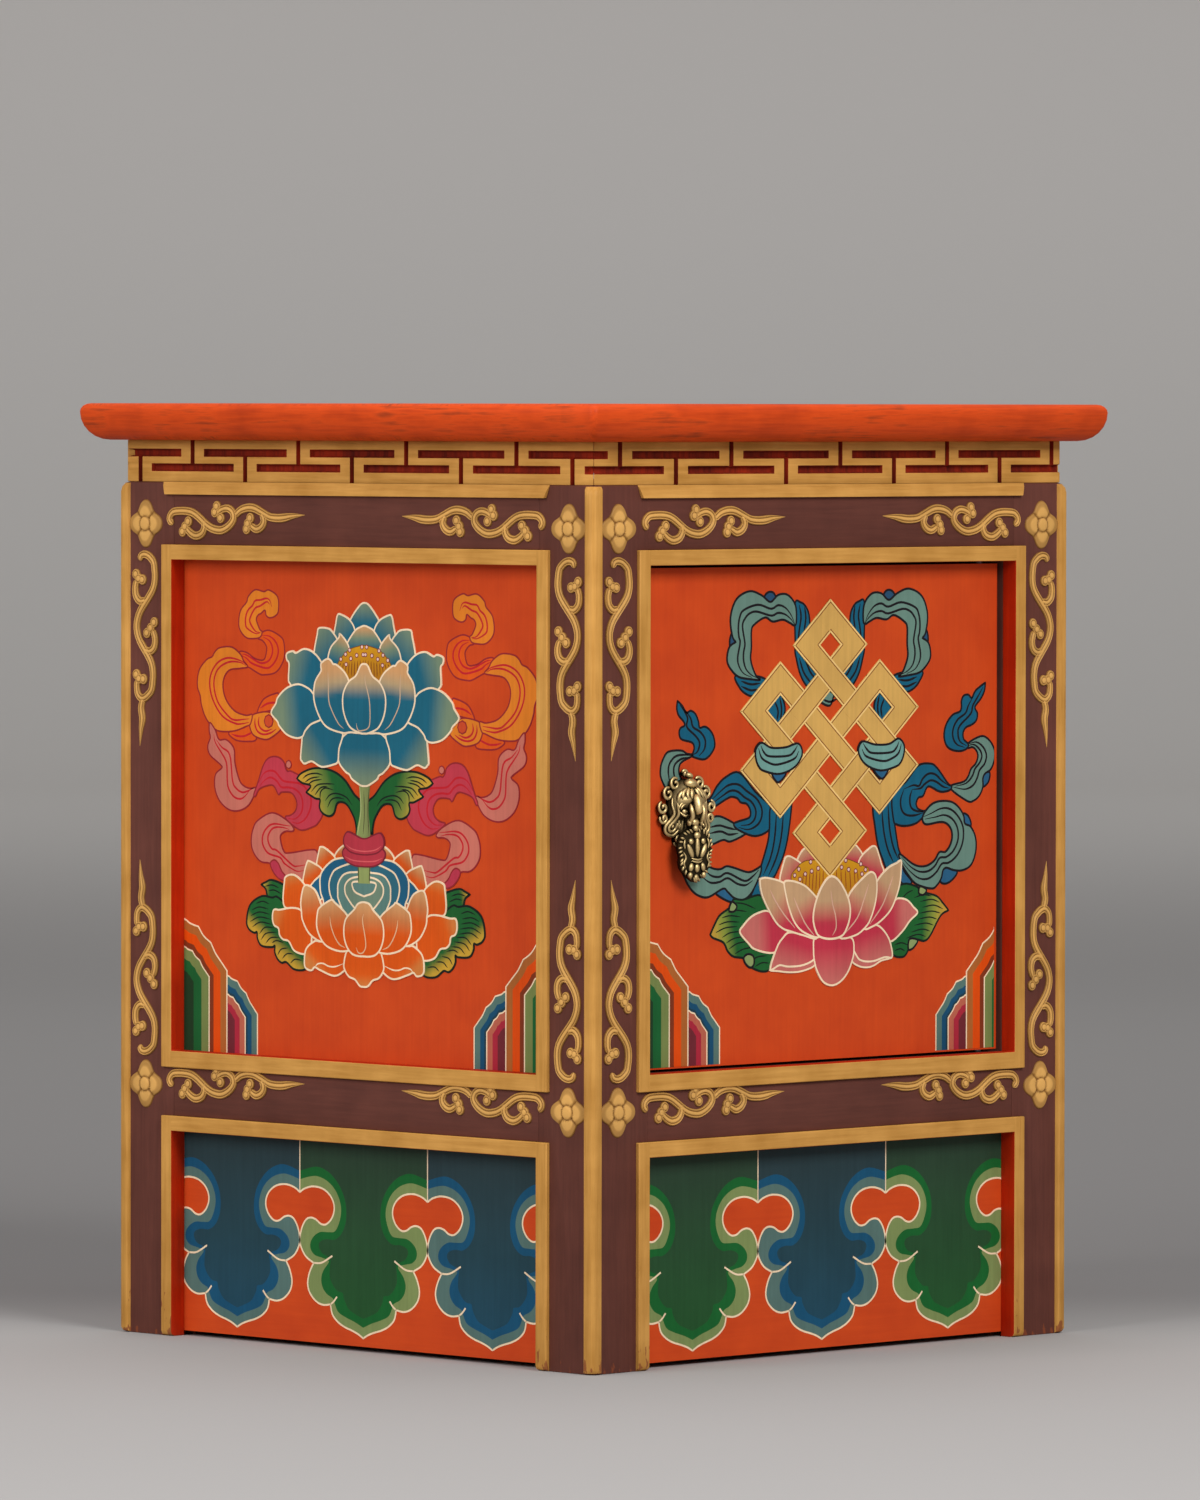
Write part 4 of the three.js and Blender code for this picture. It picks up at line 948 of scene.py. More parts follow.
# %% Hang the lotus on both side panels
lotus.hang("lotus_painting_left", LEFT, "carcass")
lotus.hang("lotus_painting_right", RIGHT, "carcass")
print("points in a lotus painting:", lotus.count)

# %% [markdown]
# ## The door
# An endless knot of flat gold bands hangs over a pink lotus, tied with scarves of silk. Three bands run each
# way, and short bands along the sides turn them round. They pass over and under each other in turn.

# %% Endless knot
KNOT_CENTRE = (208.0, 363.0)
BAND_RISE = math.radians(40.5)
BAND_WIDTH = 15.3
KNOT_HALF = 63.4
# The light ochre line and the dark one along each band's edge are a painted highlight and a painted shadow,
# as on a raised rim.
OCHRE, OCHRE_HIGHLIGHT, OCHRE_SHADOW = "#D2A458", "#F0C880", "#7A4420"
BAND_EDGES = [(1.5, OCHRE_SHADOW, 0.55, 0.2), (0.55, OCHRE_HIGHLIGHT, 0.9, 0.4)]
WAY_DOWN, WAY_UP = "down to the right", "up to the right"
CROSS_BANDS = (-29.2, 0.0, 29.2)
END_BAND = KNOT_HALF - BAND_WIDTH / 2


def knot_point(along_up, along_down):
    """From distances along the two band directions to the face: u = (a + b) cos, v = (a - b) sin."""
    return (KNOT_CENTRE[0] + (along_up + along_down) * math.cos(BAND_RISE),
            KNOT_CENTRE[1] + (along_up - along_down) * math.sin(BAND_RISE))


def band(paint, way, place, start, end, turns=False):
    """A straight band: its fill, and a light line with a thin dark one beside it along each edge, a painted
    highlight and a painted shadow. A band that turns the others round also has them across its ends, and on
    its inner side they leave the corners out."""
    half, outer = BAND_WIDTH / 2, math.copysign(1, place)

    def at(along, aside):
        return knot_point(along, place + aside) if way == WAY_UP else knot_point(place + aside, along)
    corners = [at(start, -half), at(end, -half), at(end, half), at(start, half)]
    paint.fill(sharp(corners), [OCHRE], steps=2)
    for inset, colour, width, lift in BAND_EDGES:
        rim = half - inset
        rows = [[at(start, -rim), at(end, -rim)], [at(start, rim), at(end, rim)]]
        if turns:
            low, high = start + inset, end - inset
            trim = BAND_WIDTH - 2 * inset
            rows = [[at(low, outer * rim), at(high, outer * rim)],
                    [at(low + trim, -outer * rim), at(high - trim, -outer * rim)],
                    [at(low, outer * rim), at(low, -outer * half)],
                    [at(high, outer * rim), at(high, -outer * half)]]
        for row in rows:
            paint.line(row, colour, width, steps=2, lift=lift)


def knot(paint):
    """Four layers of bands, and on top the short stretches that put every second crossing right."""
    reach, near, far = KNOT_HALF - 14, CROSS_BANDS[2] - BAND_WIDTH / 2, CROSS_BANDS[2] + BAND_WIDTH / 2
    turning = [(-END_BAND, -far, BAND_WIDTH / 2), (-END_BAND, near, KNOT_HALF),
               (END_BAND, -KNOT_HALF, -near), (END_BAND, -BAND_WIDTH / 2, far)]
    layers = [[(WAY_UP, *row, True) for row in turning],
              [(WAY_DOWN, -place, -end, -start, True) for place, start, end in turning],
              [(WAY_UP, place, -reach, reach) for place in CROSS_BANDS],
              [(WAY_DOWN, place, -reach, reach) for place in CROSS_BANDS],
              [(WAY_UP, up, down - 9.5, down + 9.5) for row, up in enumerate(CROSS_BANDS)
               for column, down in enumerate(CROSS_BANDS) if (row + column) % 2]]
    for layer in layers:
        for row in layer:
            band(paint, *row)
        paint.coat += 1

# %% [markdown]
# Scarves of silk are knotted round the bands. Each stretch of silk is a patch with a dark outline and dark
# lines along its folds, laid from the back to the front.

# %% Scarves above
SILK_GREY, SILK_BLUE, SILK_DUSK = "#67877A", "#145D78", "#2A5E80"
SILK_NIGHT, SILK_PALE, INK = "#2A4E6C", "#6F9C93", "#1C181C"


def scarf(paint, outline, folds, colour=SILK_GREY, middle=None):
    """One stretch of silk with the dark lines of its folds. With a middle line it has a mirror image."""
    for part in [outline, mirrored(outline, middle)] if middle else [outline]:
        paint.fill(part, [colour])
        paint.line(part, INK, 1.35, closed=True)
    strokes(paint, folds, INK, 1.4, middle)
    paint.coat += 1


def silk(paint, rows, middle=None):
    """Stretches of silk, each a row of outline, folds and colour."""
    for outline, folds, colour in rows:
        scarf(paint, outline, folds, colour, middle)


# Tied to the upper corner of the knot and at both its sides.
SILK_ABOVE = [
    ([(178.5, 443), (183, 443.5), (187, 441.5), (190, 437), (191, 431), (192, 424), (184, 418), (179.5, 418),
      (178.5, 424)],
     [[(182, 442), (183.5, 435), (182, 427), (181, 419)], [(186.5, 441), (187.5, 434),
      (186, 426)]], SILK_BLUE),
    ([(178.5, 416), (180, 409), (183, 401), (188, 394.5), (192, 393.5), (200, 399), (192, 410), (183, 418)],
     [[(182, 411), (186, 402), (193, 395)], [(186, 412), (191, 403), (196, 398)]], SILK_BLUE),
    ([(128, 401), (131.5, 394.5), (137, 390.5), (144, 389.5), (154, 397), (150, 400), (140, 401)],
     [[(133, 398), (141, 396), (149, 396.5)], [(133, 395), (141, 392.5), (147, 393)]], SILK_BLUE),
    ([(152, 445), (153.5, 448.5), (157, 450), (160.5, 449), (162.5, 445), (157.5, 442)], [], SILK_NIGHT),
    ([(125.5, 426.5), (123.5, 422.5), (124, 417.5), (129, 419), (128, 425)], [], SILK_NIGHT),
    ([(149, 398.5), (141, 399), (131, 400.5), (125, 404.5), (121.5, 409), (121.5, 414), (123.5, 418.5),
      (128.5, 421), (128.5, 421), (125.5, 424.5), (124, 435.5), (129, 446), (140, 450.5), (150, 448),
      (157.5, 444), (164, 448), (172, 448), (178.5, 442), (179.5, 433), (178, 430), (174, 431.5),
      (168, 433.5), (159.5, 432.5), (153, 435), (144, 431), (141.5, 427.5), (141.5, 418), (141, 410),
      (145, 401.5)],
     [[(147, 399.5), (141.5, 401.5), (137, 405), (135, 410), (135, 415), (136, 420), (134, 430),
      (136, 434.5), (140, 437.5), (146, 438.5), (158, 436), (164, 437.5), (170, 436.5), (175, 433.5),
      (178, 430.5)], [(142, 400), (135, 402.5), (131, 407), (130, 412), (132, 420.5), (131, 424),
      (130.5, 429), (131.5, 435), (135, 439.5), (147, 442.5), (158, 440), (164, 442), (170, 440.5),
      (175, 436), (178, 431)]], SILK_GREY),
    ([(155, 379), (165, 389), (168, 387), (170, 381), (168, 375), (165, 370.5)],
     [[(161, 386), (164, 380), (163, 374)], [(165.5, 388), (167, 381), (166, 374)]], SILK_BLUE),
]
SILK_BOW = ([(200, 385), (204, 388.5), (208, 391), (216, 385), (212, 388.5), (208, 382.3)],
            [[(202, 386), (208, 384.5), (214, 386)]])

# %% Sashes on the knot
# Wound round the two outer bands of the knot, with the ends peeping out below.
SASHES = [
    ([(158, 345), (163.5, 338), (170.5, 344)], [], SILK_DUSK),
    ([(144.5, 357), (145, 352), (147.5, 347.5), (152, 345), (165, 343), (178, 347), (184, 354.5),
      (180.5, 360.5), (170, 358.5), (158, 358.5), (150.5, 361.5), (147, 360.5)],
     [[(149, 360), (151.5, 356), (156.5, 353.5), (172, 353.5), (177, 356), (180, 359.5)], [(147, 358.5),
      (149.5, 353), (155, 350), (163, 348.5), (177, 351.5), (181, 356)]], SILK_PALE),
]

# %% Scarf in the lower left
SILK_LOWER_LEFT = [
    ([(80, 387.5), (80, 387.5), (84, 384.5), (87.5, 380.5), (91, 381.5), (95, 379.5), (97.5, 375),
      (98.5, 371.5), (103, 372), (107.5, 369.5), (110.5, 365), (110.5, 359), (103, 353), (92, 355),
      (93, 357), (94, 360), (92, 363), (83.5, 365), (81.5, 368.5), (82.5, 371.5), (86, 373), (85, 375.5),
      (81, 379), (79.5, 383)],
     [[(82, 385), (86, 381), (88.5, 377), (88, 372), (96, 366), (98.5, 362), (96.5, 357.5), (92, 355.5)],
      [(86.5, 382), (91, 377), (93, 372), (99, 369), (103, 364.5), (102.5, 359), (98, 355)]], SILK_BLUE),
    ([(93, 355.5), (84, 352), (81.5, 349), (81.5, 345), (84, 338), (74, 334), (67, 342), (66, 348),
      (68, 353.5), (72.5, 358), (83, 358.5), (88, 356.5)],
     [[(74, 339), (72.5, 346), (73.5, 351), (78, 355), (84, 356), (91, 355.5)], [(79, 340), (77, 346),
      (78, 350.5), (83, 353.5), (90, 354.5)]], SILK_GREY),
    ([(96, 316), (106, 318), (113, 319.5), (120, 318), (134, 312), (139, 309.5), (125, 304.5), (118, 305.5),
      (108, 303), (98, 304)],
     [[(106, 313), (115, 314), (122, 312.5), (130, 311)], [(106, 309.5), (116, 310.5), (123, 308.5),
      (131, 309)]], SILK_GREY),
    ([(98, 326), (107, 330), (113, 337), (120, 342), (131.5, 344.5), (145, 333), (160, 322), (157.5, 311),
      (145, 307), (131, 311), (127, 314.5), (131, 316), (140, 318), (141, 322), (138, 326), (133, 327),
      (130, 329.5), (125, 330.5), (120, 329), (106, 323.5)],
     [[(106, 327.5), (116, 334), (123, 337.5), (131, 337.5), (138, 333.5), (146, 329), (150.5, 323),
      (150, 317), (146, 313), (139, 311), (131, 312.5)], [(106, 325.5), (117, 331), (124, 334), (130, 333.5),
      (136, 330), (142, 327), (145.5, 322), (144.5, 317), (140, 314), (133, 313.5)]], SILK_BLUE),
    ([(158, 324), (157, 311), (155, 301), (145, 278), (141, 270), (150, 270), (158, 280), (163, 285),
      (171, 300), (175.5, 322), (175, 332), (166, 328)],
     [[(163, 322), (161.5, 306), (158, 294), (152, 284)], [(169, 322), (167, 306), (163, 294),
      (156, 283)]], SILK_BLUE),
    ([(112, 274.5), (115, 278), (122, 277), (130, 272), (127, 269), (121, 270)], [], SILK_DUSK),
    ([(84, 292), (87, 283), (92, 277), (98, 273.5), (106, 272.5), (118, 277), (122, 275), (127, 271.5),
      (133, 270), (138, 271), (143, 275), (149, 284), (150, 289), (146, 287.5), (139, 286), (127, 289),
      (121, 290), (116, 288.5), (110, 289), (100, 292)],
     [[(102, 289), (108, 285), (115, 284), (122, 286), (136, 281), (143, 283.5), (148, 287)], [(99, 285.5),
      (107, 281), (115, 281), (122, 283), (130, 279.5), (137, 278.5), (143, 281)]], SILK_GREY),
]

# %% Scarf in the lower right
SILK_LOWER_RIGHT = [
    ([(342.5, 339), (347, 339.5), (346, 334), (341, 331), (339, 335)], [], SILK_DUSK),
    ([(327, 354.5), (329, 358), (340, 361.5), (347, 358.5), (351, 353), (351, 347), (348, 341.5), (343, 339),
      (341, 336), (341, 331), (338, 326), (333, 323), (327, 323), (312, 331.5), (324, 334.5), (328, 337.5),
      (330.5, 342), (334.5, 345), (336.5, 349), (335.5, 352.5), (332, 355)],
     [[(328.5, 357), (335, 358), (341, 355), (344, 350), (342.5, 345), (338, 341), (336, 336.5), (332, 332),
      (325, 330), (315, 331.5)], [(328, 356), (333, 356.5), (338, 353.5), (340, 349.5), (338, 345.5),
      (334, 342), (331.5, 337.5), (326, 333.5), (317, 332)]], SILK_GREY),
    ([(327, 354.5), (322, 353), (315, 353.5), (309.5, 356), (307, 361), (307.5, 366.5), (310.5, 371.5),
      (315, 375), (320.5, 376.5), (322, 379), (322, 383), (324, 386), (328, 386.5), (331, 384.5),
      (334, 388.5), (338, 391), (343, 393.5), (343, 393.5), (342, 388.5), (339, 384), (334.5, 380),
      (334, 378), (336, 375), (335, 371), (331, 368.5), (326, 367), (323.5, 364), (324, 360), (328, 357)],
     [[(341, 391), (337, 386), (332, 380), (330, 375), (320.5, 368), (319, 363), (321, 358.5), (326.5, 356)],
      [(332, 385), (328, 380), (325.5, 375.5), (319, 372), (315, 367), (314.5, 361.5), (318, 357),
      (325, 355)]], SILK_BLUE),
    ([(270, 290), (272, 283), (279, 276), (273, 274), (267, 280)], [], SILK_DUSK),
    ([(323, 315), (328, 314), (330.5, 308), (323, 306)], [], SILK_DUSK),
    ([(303, 284), (310, 284.5), (318.5, 281), (314, 276), (308, 274), (303.5, 276)], [], SILK_DUSK),
    ([(245.5, 322), (247, 310), (249.5, 299), (253.5, 290.5), (258.5, 284), (270, 289.5), (267, 297),
      (263, 316), (262, 328), (254, 326)],
     [[(252.5, 322), (254.5, 307), (258, 296), (263, 288)], [(258, 324), (259.5, 309), (262.5, 298),
      (267, 290)]], SILK_BLUE),
    ([(263, 313), (266, 310.5), (272, 309.5), (279, 310), (285, 312), (292, 317.5), (288, 318), (284, 319.5),
      (282.5, 322.5), (284.5, 326), (288.5, 327), (293, 332.5), (302, 329.5), (307, 329), (312, 330),
      (313.5, 332), (310, 334), (301, 343), (295, 346), (284, 345), (274, 336), (262, 328)],
     [[(272, 331.5), (269, 325), (270, 319), (274, 316), (281, 315.5), (289, 317)], [(279, 331), (277, 326),
      (278, 320.5), (283, 318), (289, 317.5)], [(272, 331.5), (280, 333.5), (285, 333), (288, 337),
      (293, 340), (299, 339.5), (305, 335.5), (312, 332)], [(279, 331), (286, 331.5), (290, 334), (295, 336),
      (300, 335), (306, 332), (311, 331)]], SILK_BLUE),
    ([(288, 314), (292, 319), (298, 322.5), (306, 323.5), (314, 322.5), (320, 319), (324, 314), (325, 309.5),
      (330, 307.5), (334, 302), (335, 295), (333, 288), (329, 283.5), (322, 281.5), (315, 282), (309, 283.5),
      (306, 282), (304.5, 277.5), (301, 273.5), (296, 271.5), (283, 274.5), (276, 280), (270, 287),
      (268, 293), (279, 287), (286, 285), (293, 285.5), (299, 288.5), (303, 293), (308, 293), (312, 296.5),
      (314, 301.5), (313, 306.5), (309, 310), (303, 311), (291, 310)],
     [[(270, 291), (277, 285.5), (285, 282), (293, 282), (299, 285), (303, 289.5), (309, 290), (315, 293.5),
      (319, 300), (318.5, 307), (314, 312.5), (307, 315), (299, 314), (290, 313)], [(270, 288.5),
      (277, 282.5), (285, 278), (293, 277.5), (300, 281), (305, 286), (311, 286.5), (318, 290.5), (323, 298),
      (323.5, 307), (319, 314), (312, 318.5), (304, 319), (296, 316.5), (289, 314.5)]], SILK_GREY),
]

# %% Hang the silk on the door
door = Painting(DOOR_LEFT, DOOR_RIGHT, DOOR_FOOT)
hills(door, KNOT_CENTRE[0])
for rows, middle in ((SILK_LOWER_RIGHT, None), (SILK_LOWER_LEFT, None), (SILK_ABOVE, KNOT_CENTRE[0])):
    door.coat = 1
    silk(door, rows, middle)
scarf(door, *SILK_BOW)
print("points so far:", door.count)

# %% [markdown]
# The pink lotus isn't quite symmetrical, so both its sides are written down, from the leaves behind it to
# the near petals.

# %% Leaves and buds of the pink lotus
PALE, ROSE, BLUSH, BUD, PETAL_LINE = "#C29A72", "#BE3346", "#C46A62", "#8A9A62", "#D8A890"
door.coat = 8

# A leaf on each side with its veins, and four buds.
shapes(door, [
    ([(107.5, 250.5), (107.5, 250.5), (111, 256), (115.5, 261.5), (124, 266), (127, 270.5), (135, 270),
      (150, 272), (160, 262), (150, 250), (162, 240), (158, 229), (150, 227.5), (139, 231.5), (136, 235.5),
      (127, 237), (122, 240.5), (118.5, 245.5), (110, 248.5)], (110, 248), (127, 252)),
    ([(311, 258), (311, 258), (306, 262.5), (300, 267), (287, 270), (283, 273), (272, 275), (262, 270),
      (268, 255), (258, 240), (263, 233), (270, 231.5), (274, 233), (277, 238), (278, 242), (284, 241.5),
      (290, 240.5), (295, 243.5), (304, 255)], (307, 256), (290, 258)),
], ["#C89A3C", "#8E963C", LEAF_GREEN], DARK, 1.3)
strokes(door, [
    [(112, 251.5), (120, 254), (130, 254.5)], [(114.5, 256), (122, 257.5), (132, 257)], [(117, 260),
    (124, 261), (133, 260)], [(122.5, 263), (129, 264), (138, 263)], [(128, 268.5), (136, 267.5),
    (145, 264.5)], [(117.5, 248.5), (124, 251), (134, 251.5)], [(120.5, 245), (127, 247.5), (136, 248.5)],
    [(123, 241.5), (130, 244.5), (139, 245.5)], [(128, 238.5), (135, 241), (144, 242)], [(141, 233.5),
    (147, 236), (155, 236.5)], [(145, 230.5), (151, 232.5), (157, 232)], [(306, 259), (298, 261.5),
    (288, 260.5)], [(303, 263), (296, 265), (286, 264)], [(296, 267), (289, 268), (281, 266.5)],
    [(304, 256.5), (296, 258), (285, 257)], [(301, 253), (294, 254.5), (284, 253.5)], [(298, 249.5),
    (291, 251), (281, 250)], [(295, 246), (288, 247.5), (278, 246)], [(291, 243), (284, 244.5),
    (274, 242.5)], [(275.5, 238.5), (270, 240), (264, 239)], [(273, 235), (269, 236.5), (264, 235.5)],
    [(280, 271), (275, 269.5), (270, 266)],
], DARK, 0.8, lift=-0.4)
for bud in ([(123, 264), (125.5, 269), (129.5, 266.5), (127.5, 263.5)],
            [(135.5, 236), (139, 238), (143.5, 236.5), (144, 232), (141, 230), (137, 232.5)],
            [(276, 236), (277, 242), (284, 241), (280, 236.5)],
            [(285, 269), (286, 273), (291.5, 271), (289, 268)]):
    scarf(door, bud, [], BUD)

# %% Far petals and seed head
# Petals behind the seed head, the seed head with its stamens, and the long petals at both sides.
shapes(door, [
    ([(180, 291), (186.5, 298.5), (192, 295), (198, 290), (190, 282), (182, 284)], (186, 298), (190, 289)),
    ([(220, 293), (225, 297), (229, 299.5), (233, 297), (236.5, 292), (234, 284), (222, 284)], (229, 299),
      (228, 290)),
    ([(165.5, 280), (169, 291), (171, 294), (175, 294), (184, 289.5), (187, 285), (180, 276), (170, 275)],
      (170, 293), (180, 282)),
    ([(233, 290), (242, 297), (247, 298), (250, 293), (252, 288), (254, 282), (246, 276), (235, 280)],
      (246, 297), (242, 284)),
], [PALE, ROSE], CREAM, 1.05)
shapes(door, [
    ([(175, 281), (180, 287.5), (185, 290.5), (192, 291.5), (215, 291), (222, 291.5), (236, 287),
      (241.5, 283.5), (236, 268), (208, 262), (184, 268)], (208, 290), (208, 272)),
], [POLLEN, "#B87818"], BROWN, 0.5)
strokes(door, [[(u, 274 - abs(u - 208) * 0.06), (208 + 0.94 * (u - 208), 286 - 0.08 * abs(u - 208))]
                for u in (184, 187, 190, 193, 196, 199, 202, 214, 218, 222, 226, 230, 233)],
        "#8E3A1E", 0.6)
stamens(door, [(178, 283), (181.5, 286.5), (191.5, 290.5), (182.5, 280.5), (187, 283.5), (192.5, 285),
                (198, 286.5), (238.5, 284.5), (234.5, 288), (221.5, 290.5), (218, 286.5), (224, 285),
                (230, 284), (235.5, 282)], 1.6, 1.0)
shapes(door, [
    ([(132, 251), (135, 255), (141, 259.5), (148, 262), (156, 262.5), (164, 256), (172, 250), (170, 243),
      (160, 238), (145, 240.5), (139, 244.5)], (136, 250), (158, 252)),
    ([(264, 265.5), (269, 266.5), (275, 265), (280, 261), (283.5, 257.5), (277, 253), (270, 246.5),
      (260, 241), (250, 244), (245, 251), (256, 258)], (281, 257), (262, 256)),
], [BLUSH, BLUSH, ROSE], CREAM, 1.15)
door.coat += 1

# %% Near petals
# The cup in front and the petals that open over it.
shapes(door, [
    ([(157.5, 228.5), (165, 227), (175, 226), (185, 226.5), (195, 229.5), (194, 236), (180, 234)],),
    ([(261.5, 232), (252, 230), (246, 227.5), (240, 226.5), (233, 227.5), (227, 231), (230, 238),
      (245, 236)],),
], [BLUSH], CREAM, 1.05)
shapes(door, [
    ([(157.5, 228.5), (163, 241), (168, 246.5), (173.5, 249.5), (185, 248), (196, 245.5), (196, 238),
      (195, 233.5), (190, 231), (182, 229.5), (172, 229.5), (165, 230.5)], (172, 230), (176, 244)),
    ([(247, 251.5), (252, 249.5), (257, 245), (260, 240), (261.5, 232), (255, 232), (245, 230), (236, 230.5),
      (231, 233.5), (225, 244), (233, 247.5), (240, 251)], (246, 231), (242, 246)),
    ([(195.5, 246), (194, 238), (195, 231), (198, 224.5), (203, 219), (210, 217), (217, 219), (223, 224),
      (227, 231), (228.5, 237), (227, 244), (218, 246), (209, 247)], (210, 219), (210, 240)),
], [BLUSH, ROSE], CREAM, 1.15)
shapes(door, [
    ([(148.5, 280.5), (150, 282), (156, 282), (169, 278.5), (176, 270), (188, 258), (197, 245.5),
      (185, 247.5), (175, 250), (168, 252), (161, 257), (151, 271)], (152, 281), (172, 256)),
    ([(248, 277), (258, 285), (265, 287.5), (269, 289), (269, 284), (268, 276), (265, 268), (260, 260),
      (252, 254), (244, 250.5), (237, 250), (240, 262)], (267, 287), (250, 262)),
], [PALE, PALE, ROSE], CREAM, 1.15)
shapes(door, [
    ([(169, 279), (173, 280), (181, 278.5), (189, 275), (199, 266), (199, 256), (199, 246), (186, 249),
      (178, 255), (173, 264), (170, 273)], (176, 279), (186, 255)),
    ([(222, 266), (227, 273), (240, 282), (245, 282.5), (247.5, 279), (248, 272), (246.5, 264), (243, 256),
      (239, 251), (230, 246), (216, 245), (218, 256)], (243, 281), (232, 256)),
], [PALE, PALE, ROSE], CREAM, 1.15)
strokes(door, [[(157, 275), (161, 269), (168, 261), (178, 252)], [(177, 270), (181, 263), (187, 254),
                                                                   (195, 246.5)],
                [(241, 276), (237, 267), (231, 256), (219, 246)], [(262, 280), (257, 270), (252, 262),
                                                                   (242, 252)]],
        PETAL_LINE, 0.9, lift=-0.3)
shapes(door, [
    ([(209, 281.5), (204, 279), (199, 273), (195, 265), (193.5, 257), (195.5, 250), (199.5, 246),
      (209, 244.5), (218, 246), (222.5, 251), (225, 258), (224.5, 265), (221, 272), (215, 279)], (209, 280),
      (209, 254)),
], [PALE, PALE, ROSE], CREAM, 1.3)
strokes(door, [[(208.5, 273), (210, 265), (212.5, 258), (213, 251), (210, 246.5)]], PETAL_LINE, 0.9,
        lift=-0.3)

# %% Hang the door's painting
door.coat = 20
knot(door)
door.coat = 26
silk(door, SASHES, KNOT_CENTRE[0])
door.hang("knot_painting", FRONT, "door")
print("points in the door's painting:", door.count)

# %% [markdown]
# ## The lower panels
# Three cloud pendants hang side by side. Each is a dark core in two lighter rings, and the ground shows
# between them as a bean-shaped gap.

# %% Cloud pendants
# Distance between the pendants, height of the lower tip, and height where two pendants meet above the gap.
CLOUD_PITCH = 109.0
CLOUD_TIP = 8.0
CLOUD_NECK = 91.7
UPPER_CUSP = [(-42.5, 50.2), (-35.5, 50.8), (-26.5, 55.3)]
LOWER_CUSP = [(-28, 26.5), (-25.3, 28.3), (-22.5, 31.3)]
BLUES = [["#56726C"], ["#165070"], ["#2B3B3E", "#24424C", "#1E485C"]]
GREENS = [["#7E8E56"], ["#17622C"], ["#2B3E30", "#274C2E", "#22542A"]]


def cloud(paint, middle, colours):
    """One pendant: three outlines inside each other, given for the left half about its middle."""
    top = RAIL_LOW - 1
    reach = -CLOUD_PITCH / 2

    def wall(height):
        return [(0, top), *sharp([(reach, top), (reach, height)])]
    rings = [
        [*wall(CLOUD_NECK), (-50, 94.2), (-43, 95.7), (-35, 94.8), (-29, 91.6), (-25.5, 87), (-25, 82),
         (-27.5, 77), (-32, 73.7), (-36.5, 73.8), (-41, 76.3), (-45.5, 77), (-49.5, 75.3), (-53, 70),
         (-54.5, 63), (-52.8, 58), (-49, 53.5), *sharp(UPPER_CUSP[:1]), (-45.8, 45), (-47.7, 38.3),
         (-46, 32.5), (-40.7, 27.7), (-34.5, 25.8), *sharp(LOWER_CUSP[:1]), (-26.5, 20.8), (-22, 16.6),
         (-16, 13.8), (-9.5, 12), (-4.2, 10.2), *sharp([(0, CLOUD_TIP)])],
        [*wall(99.3), (-46.5, 101.3), (-39.5, 101.9), (-31.3, 99.7), (-24.5, 95), (-20.3, 88.6), (-19, 82),
         (-20.8, 75.2), (-24.4, 70), (-30, 69.2), (-37, 68.9), (-42.4, 66.1), (-45.3, 62.2), (-45, 58),
         (-41.3, 54.9), (-34.8, 53.6), (-29.5, 51.8), (-34, 46.5), (-36, 41.5), (-35, 36.5), (-31.5, 32.6),
         (-26, 30), (-24.5, 27.2), (-21.5, 22.4), (-14.5, 19.4), (-7.2, 17.2), *sharp([(0, 14.3)])],
        [*wall(104.3), (-41, 107.5), (-31.3, 105.5), (-23, 100), (-17, 92), (-14.7, 84), (-15.2, 75.6),
         (-18.9, 68.7), (-24.8, 65), (-31.3, 65), (-36.6, 63.5), (-38.1, 60.5), (-35.4, 56.5), (-28.5, 53.7),
         (-28.5, 49), (-28.7, 42.8), (-26, 38), (-22, 34.7), (-17.5, 33.8), (-16.5, 30.3), (-12.5, 24.7),
         (-6.5, 21.8), *sharp([(0, 19.6)])],
    ]
    for ring, shades in zip(rings, colours):
        placed = [(middle + u, v) for u, v in ring]
        whole = placed + mirrored(placed[::-1], middle)[1:-1]
        paint.fill(whole, shades, (middle, top), (middle, CLOUD_TIP))
        paint.coat += 0.4
    for line in (rings[0][3:], UPPER_CUSP, LOWER_CUSP):
        placed = [(middle + u, v) for u, v in line]
        for part in (placed, mirrored(placed, middle)):
            paint.line(part, CREAM, 1.1, lift=0.3)


def cloud_panel(name, face, colours_of_three):
    """Three pendants side by side, and the seams between them above the gaps."""
    paint = Painting(JAMB_LEFT, JAMB_RIGHT)
    for place, colours in zip((-1, 0, 1), colours_of_three):
        paint.coat = 1
        cloud(paint, HALF + place * CLOUD_PITCH, colours)
    for place in (-0.5, 0.5):
        foot = HALF + place * CLOUD_PITCH
        paint.line([(foot, RAIL_LOW - 1), (foot, CLOUD_NECK)], CREAM, 0.8, lift=1)
    paint.hang(name, face, "carcass")


cloud_panel("cloud_painting_front", FRONT, (GREENS, BLUES, GREENS))
cloud_panel("cloud_painting_right", RIGHT, (BLUES, GREENS, BLUES))
cloud_panel("cloud_painting_left", LEFT, (BLUES, GREENS, BLUES))

# %% [markdown]
# ## Raised work
# The gesso on the frame and the cast brass of the handle are both raised work. Sculpting them by hand would
# leave nothing to adjust, so every scroll, petal and curl is a closed body of its own: a grid of rings with a
# cap on its first and last ring, and bodies that belong together sink into each other. Each point also
# carries a share from 0 in a hollow to 1 on a top, which sets its colour: dark in the hollows, painted shade
# together with the patina and dirt of the brass, and bright on the tops, painted highlight together with the
# places where hands have rubbed the brass bright.

# %% Closed bodies from rings
SHARP_FROM = math.radians(60)


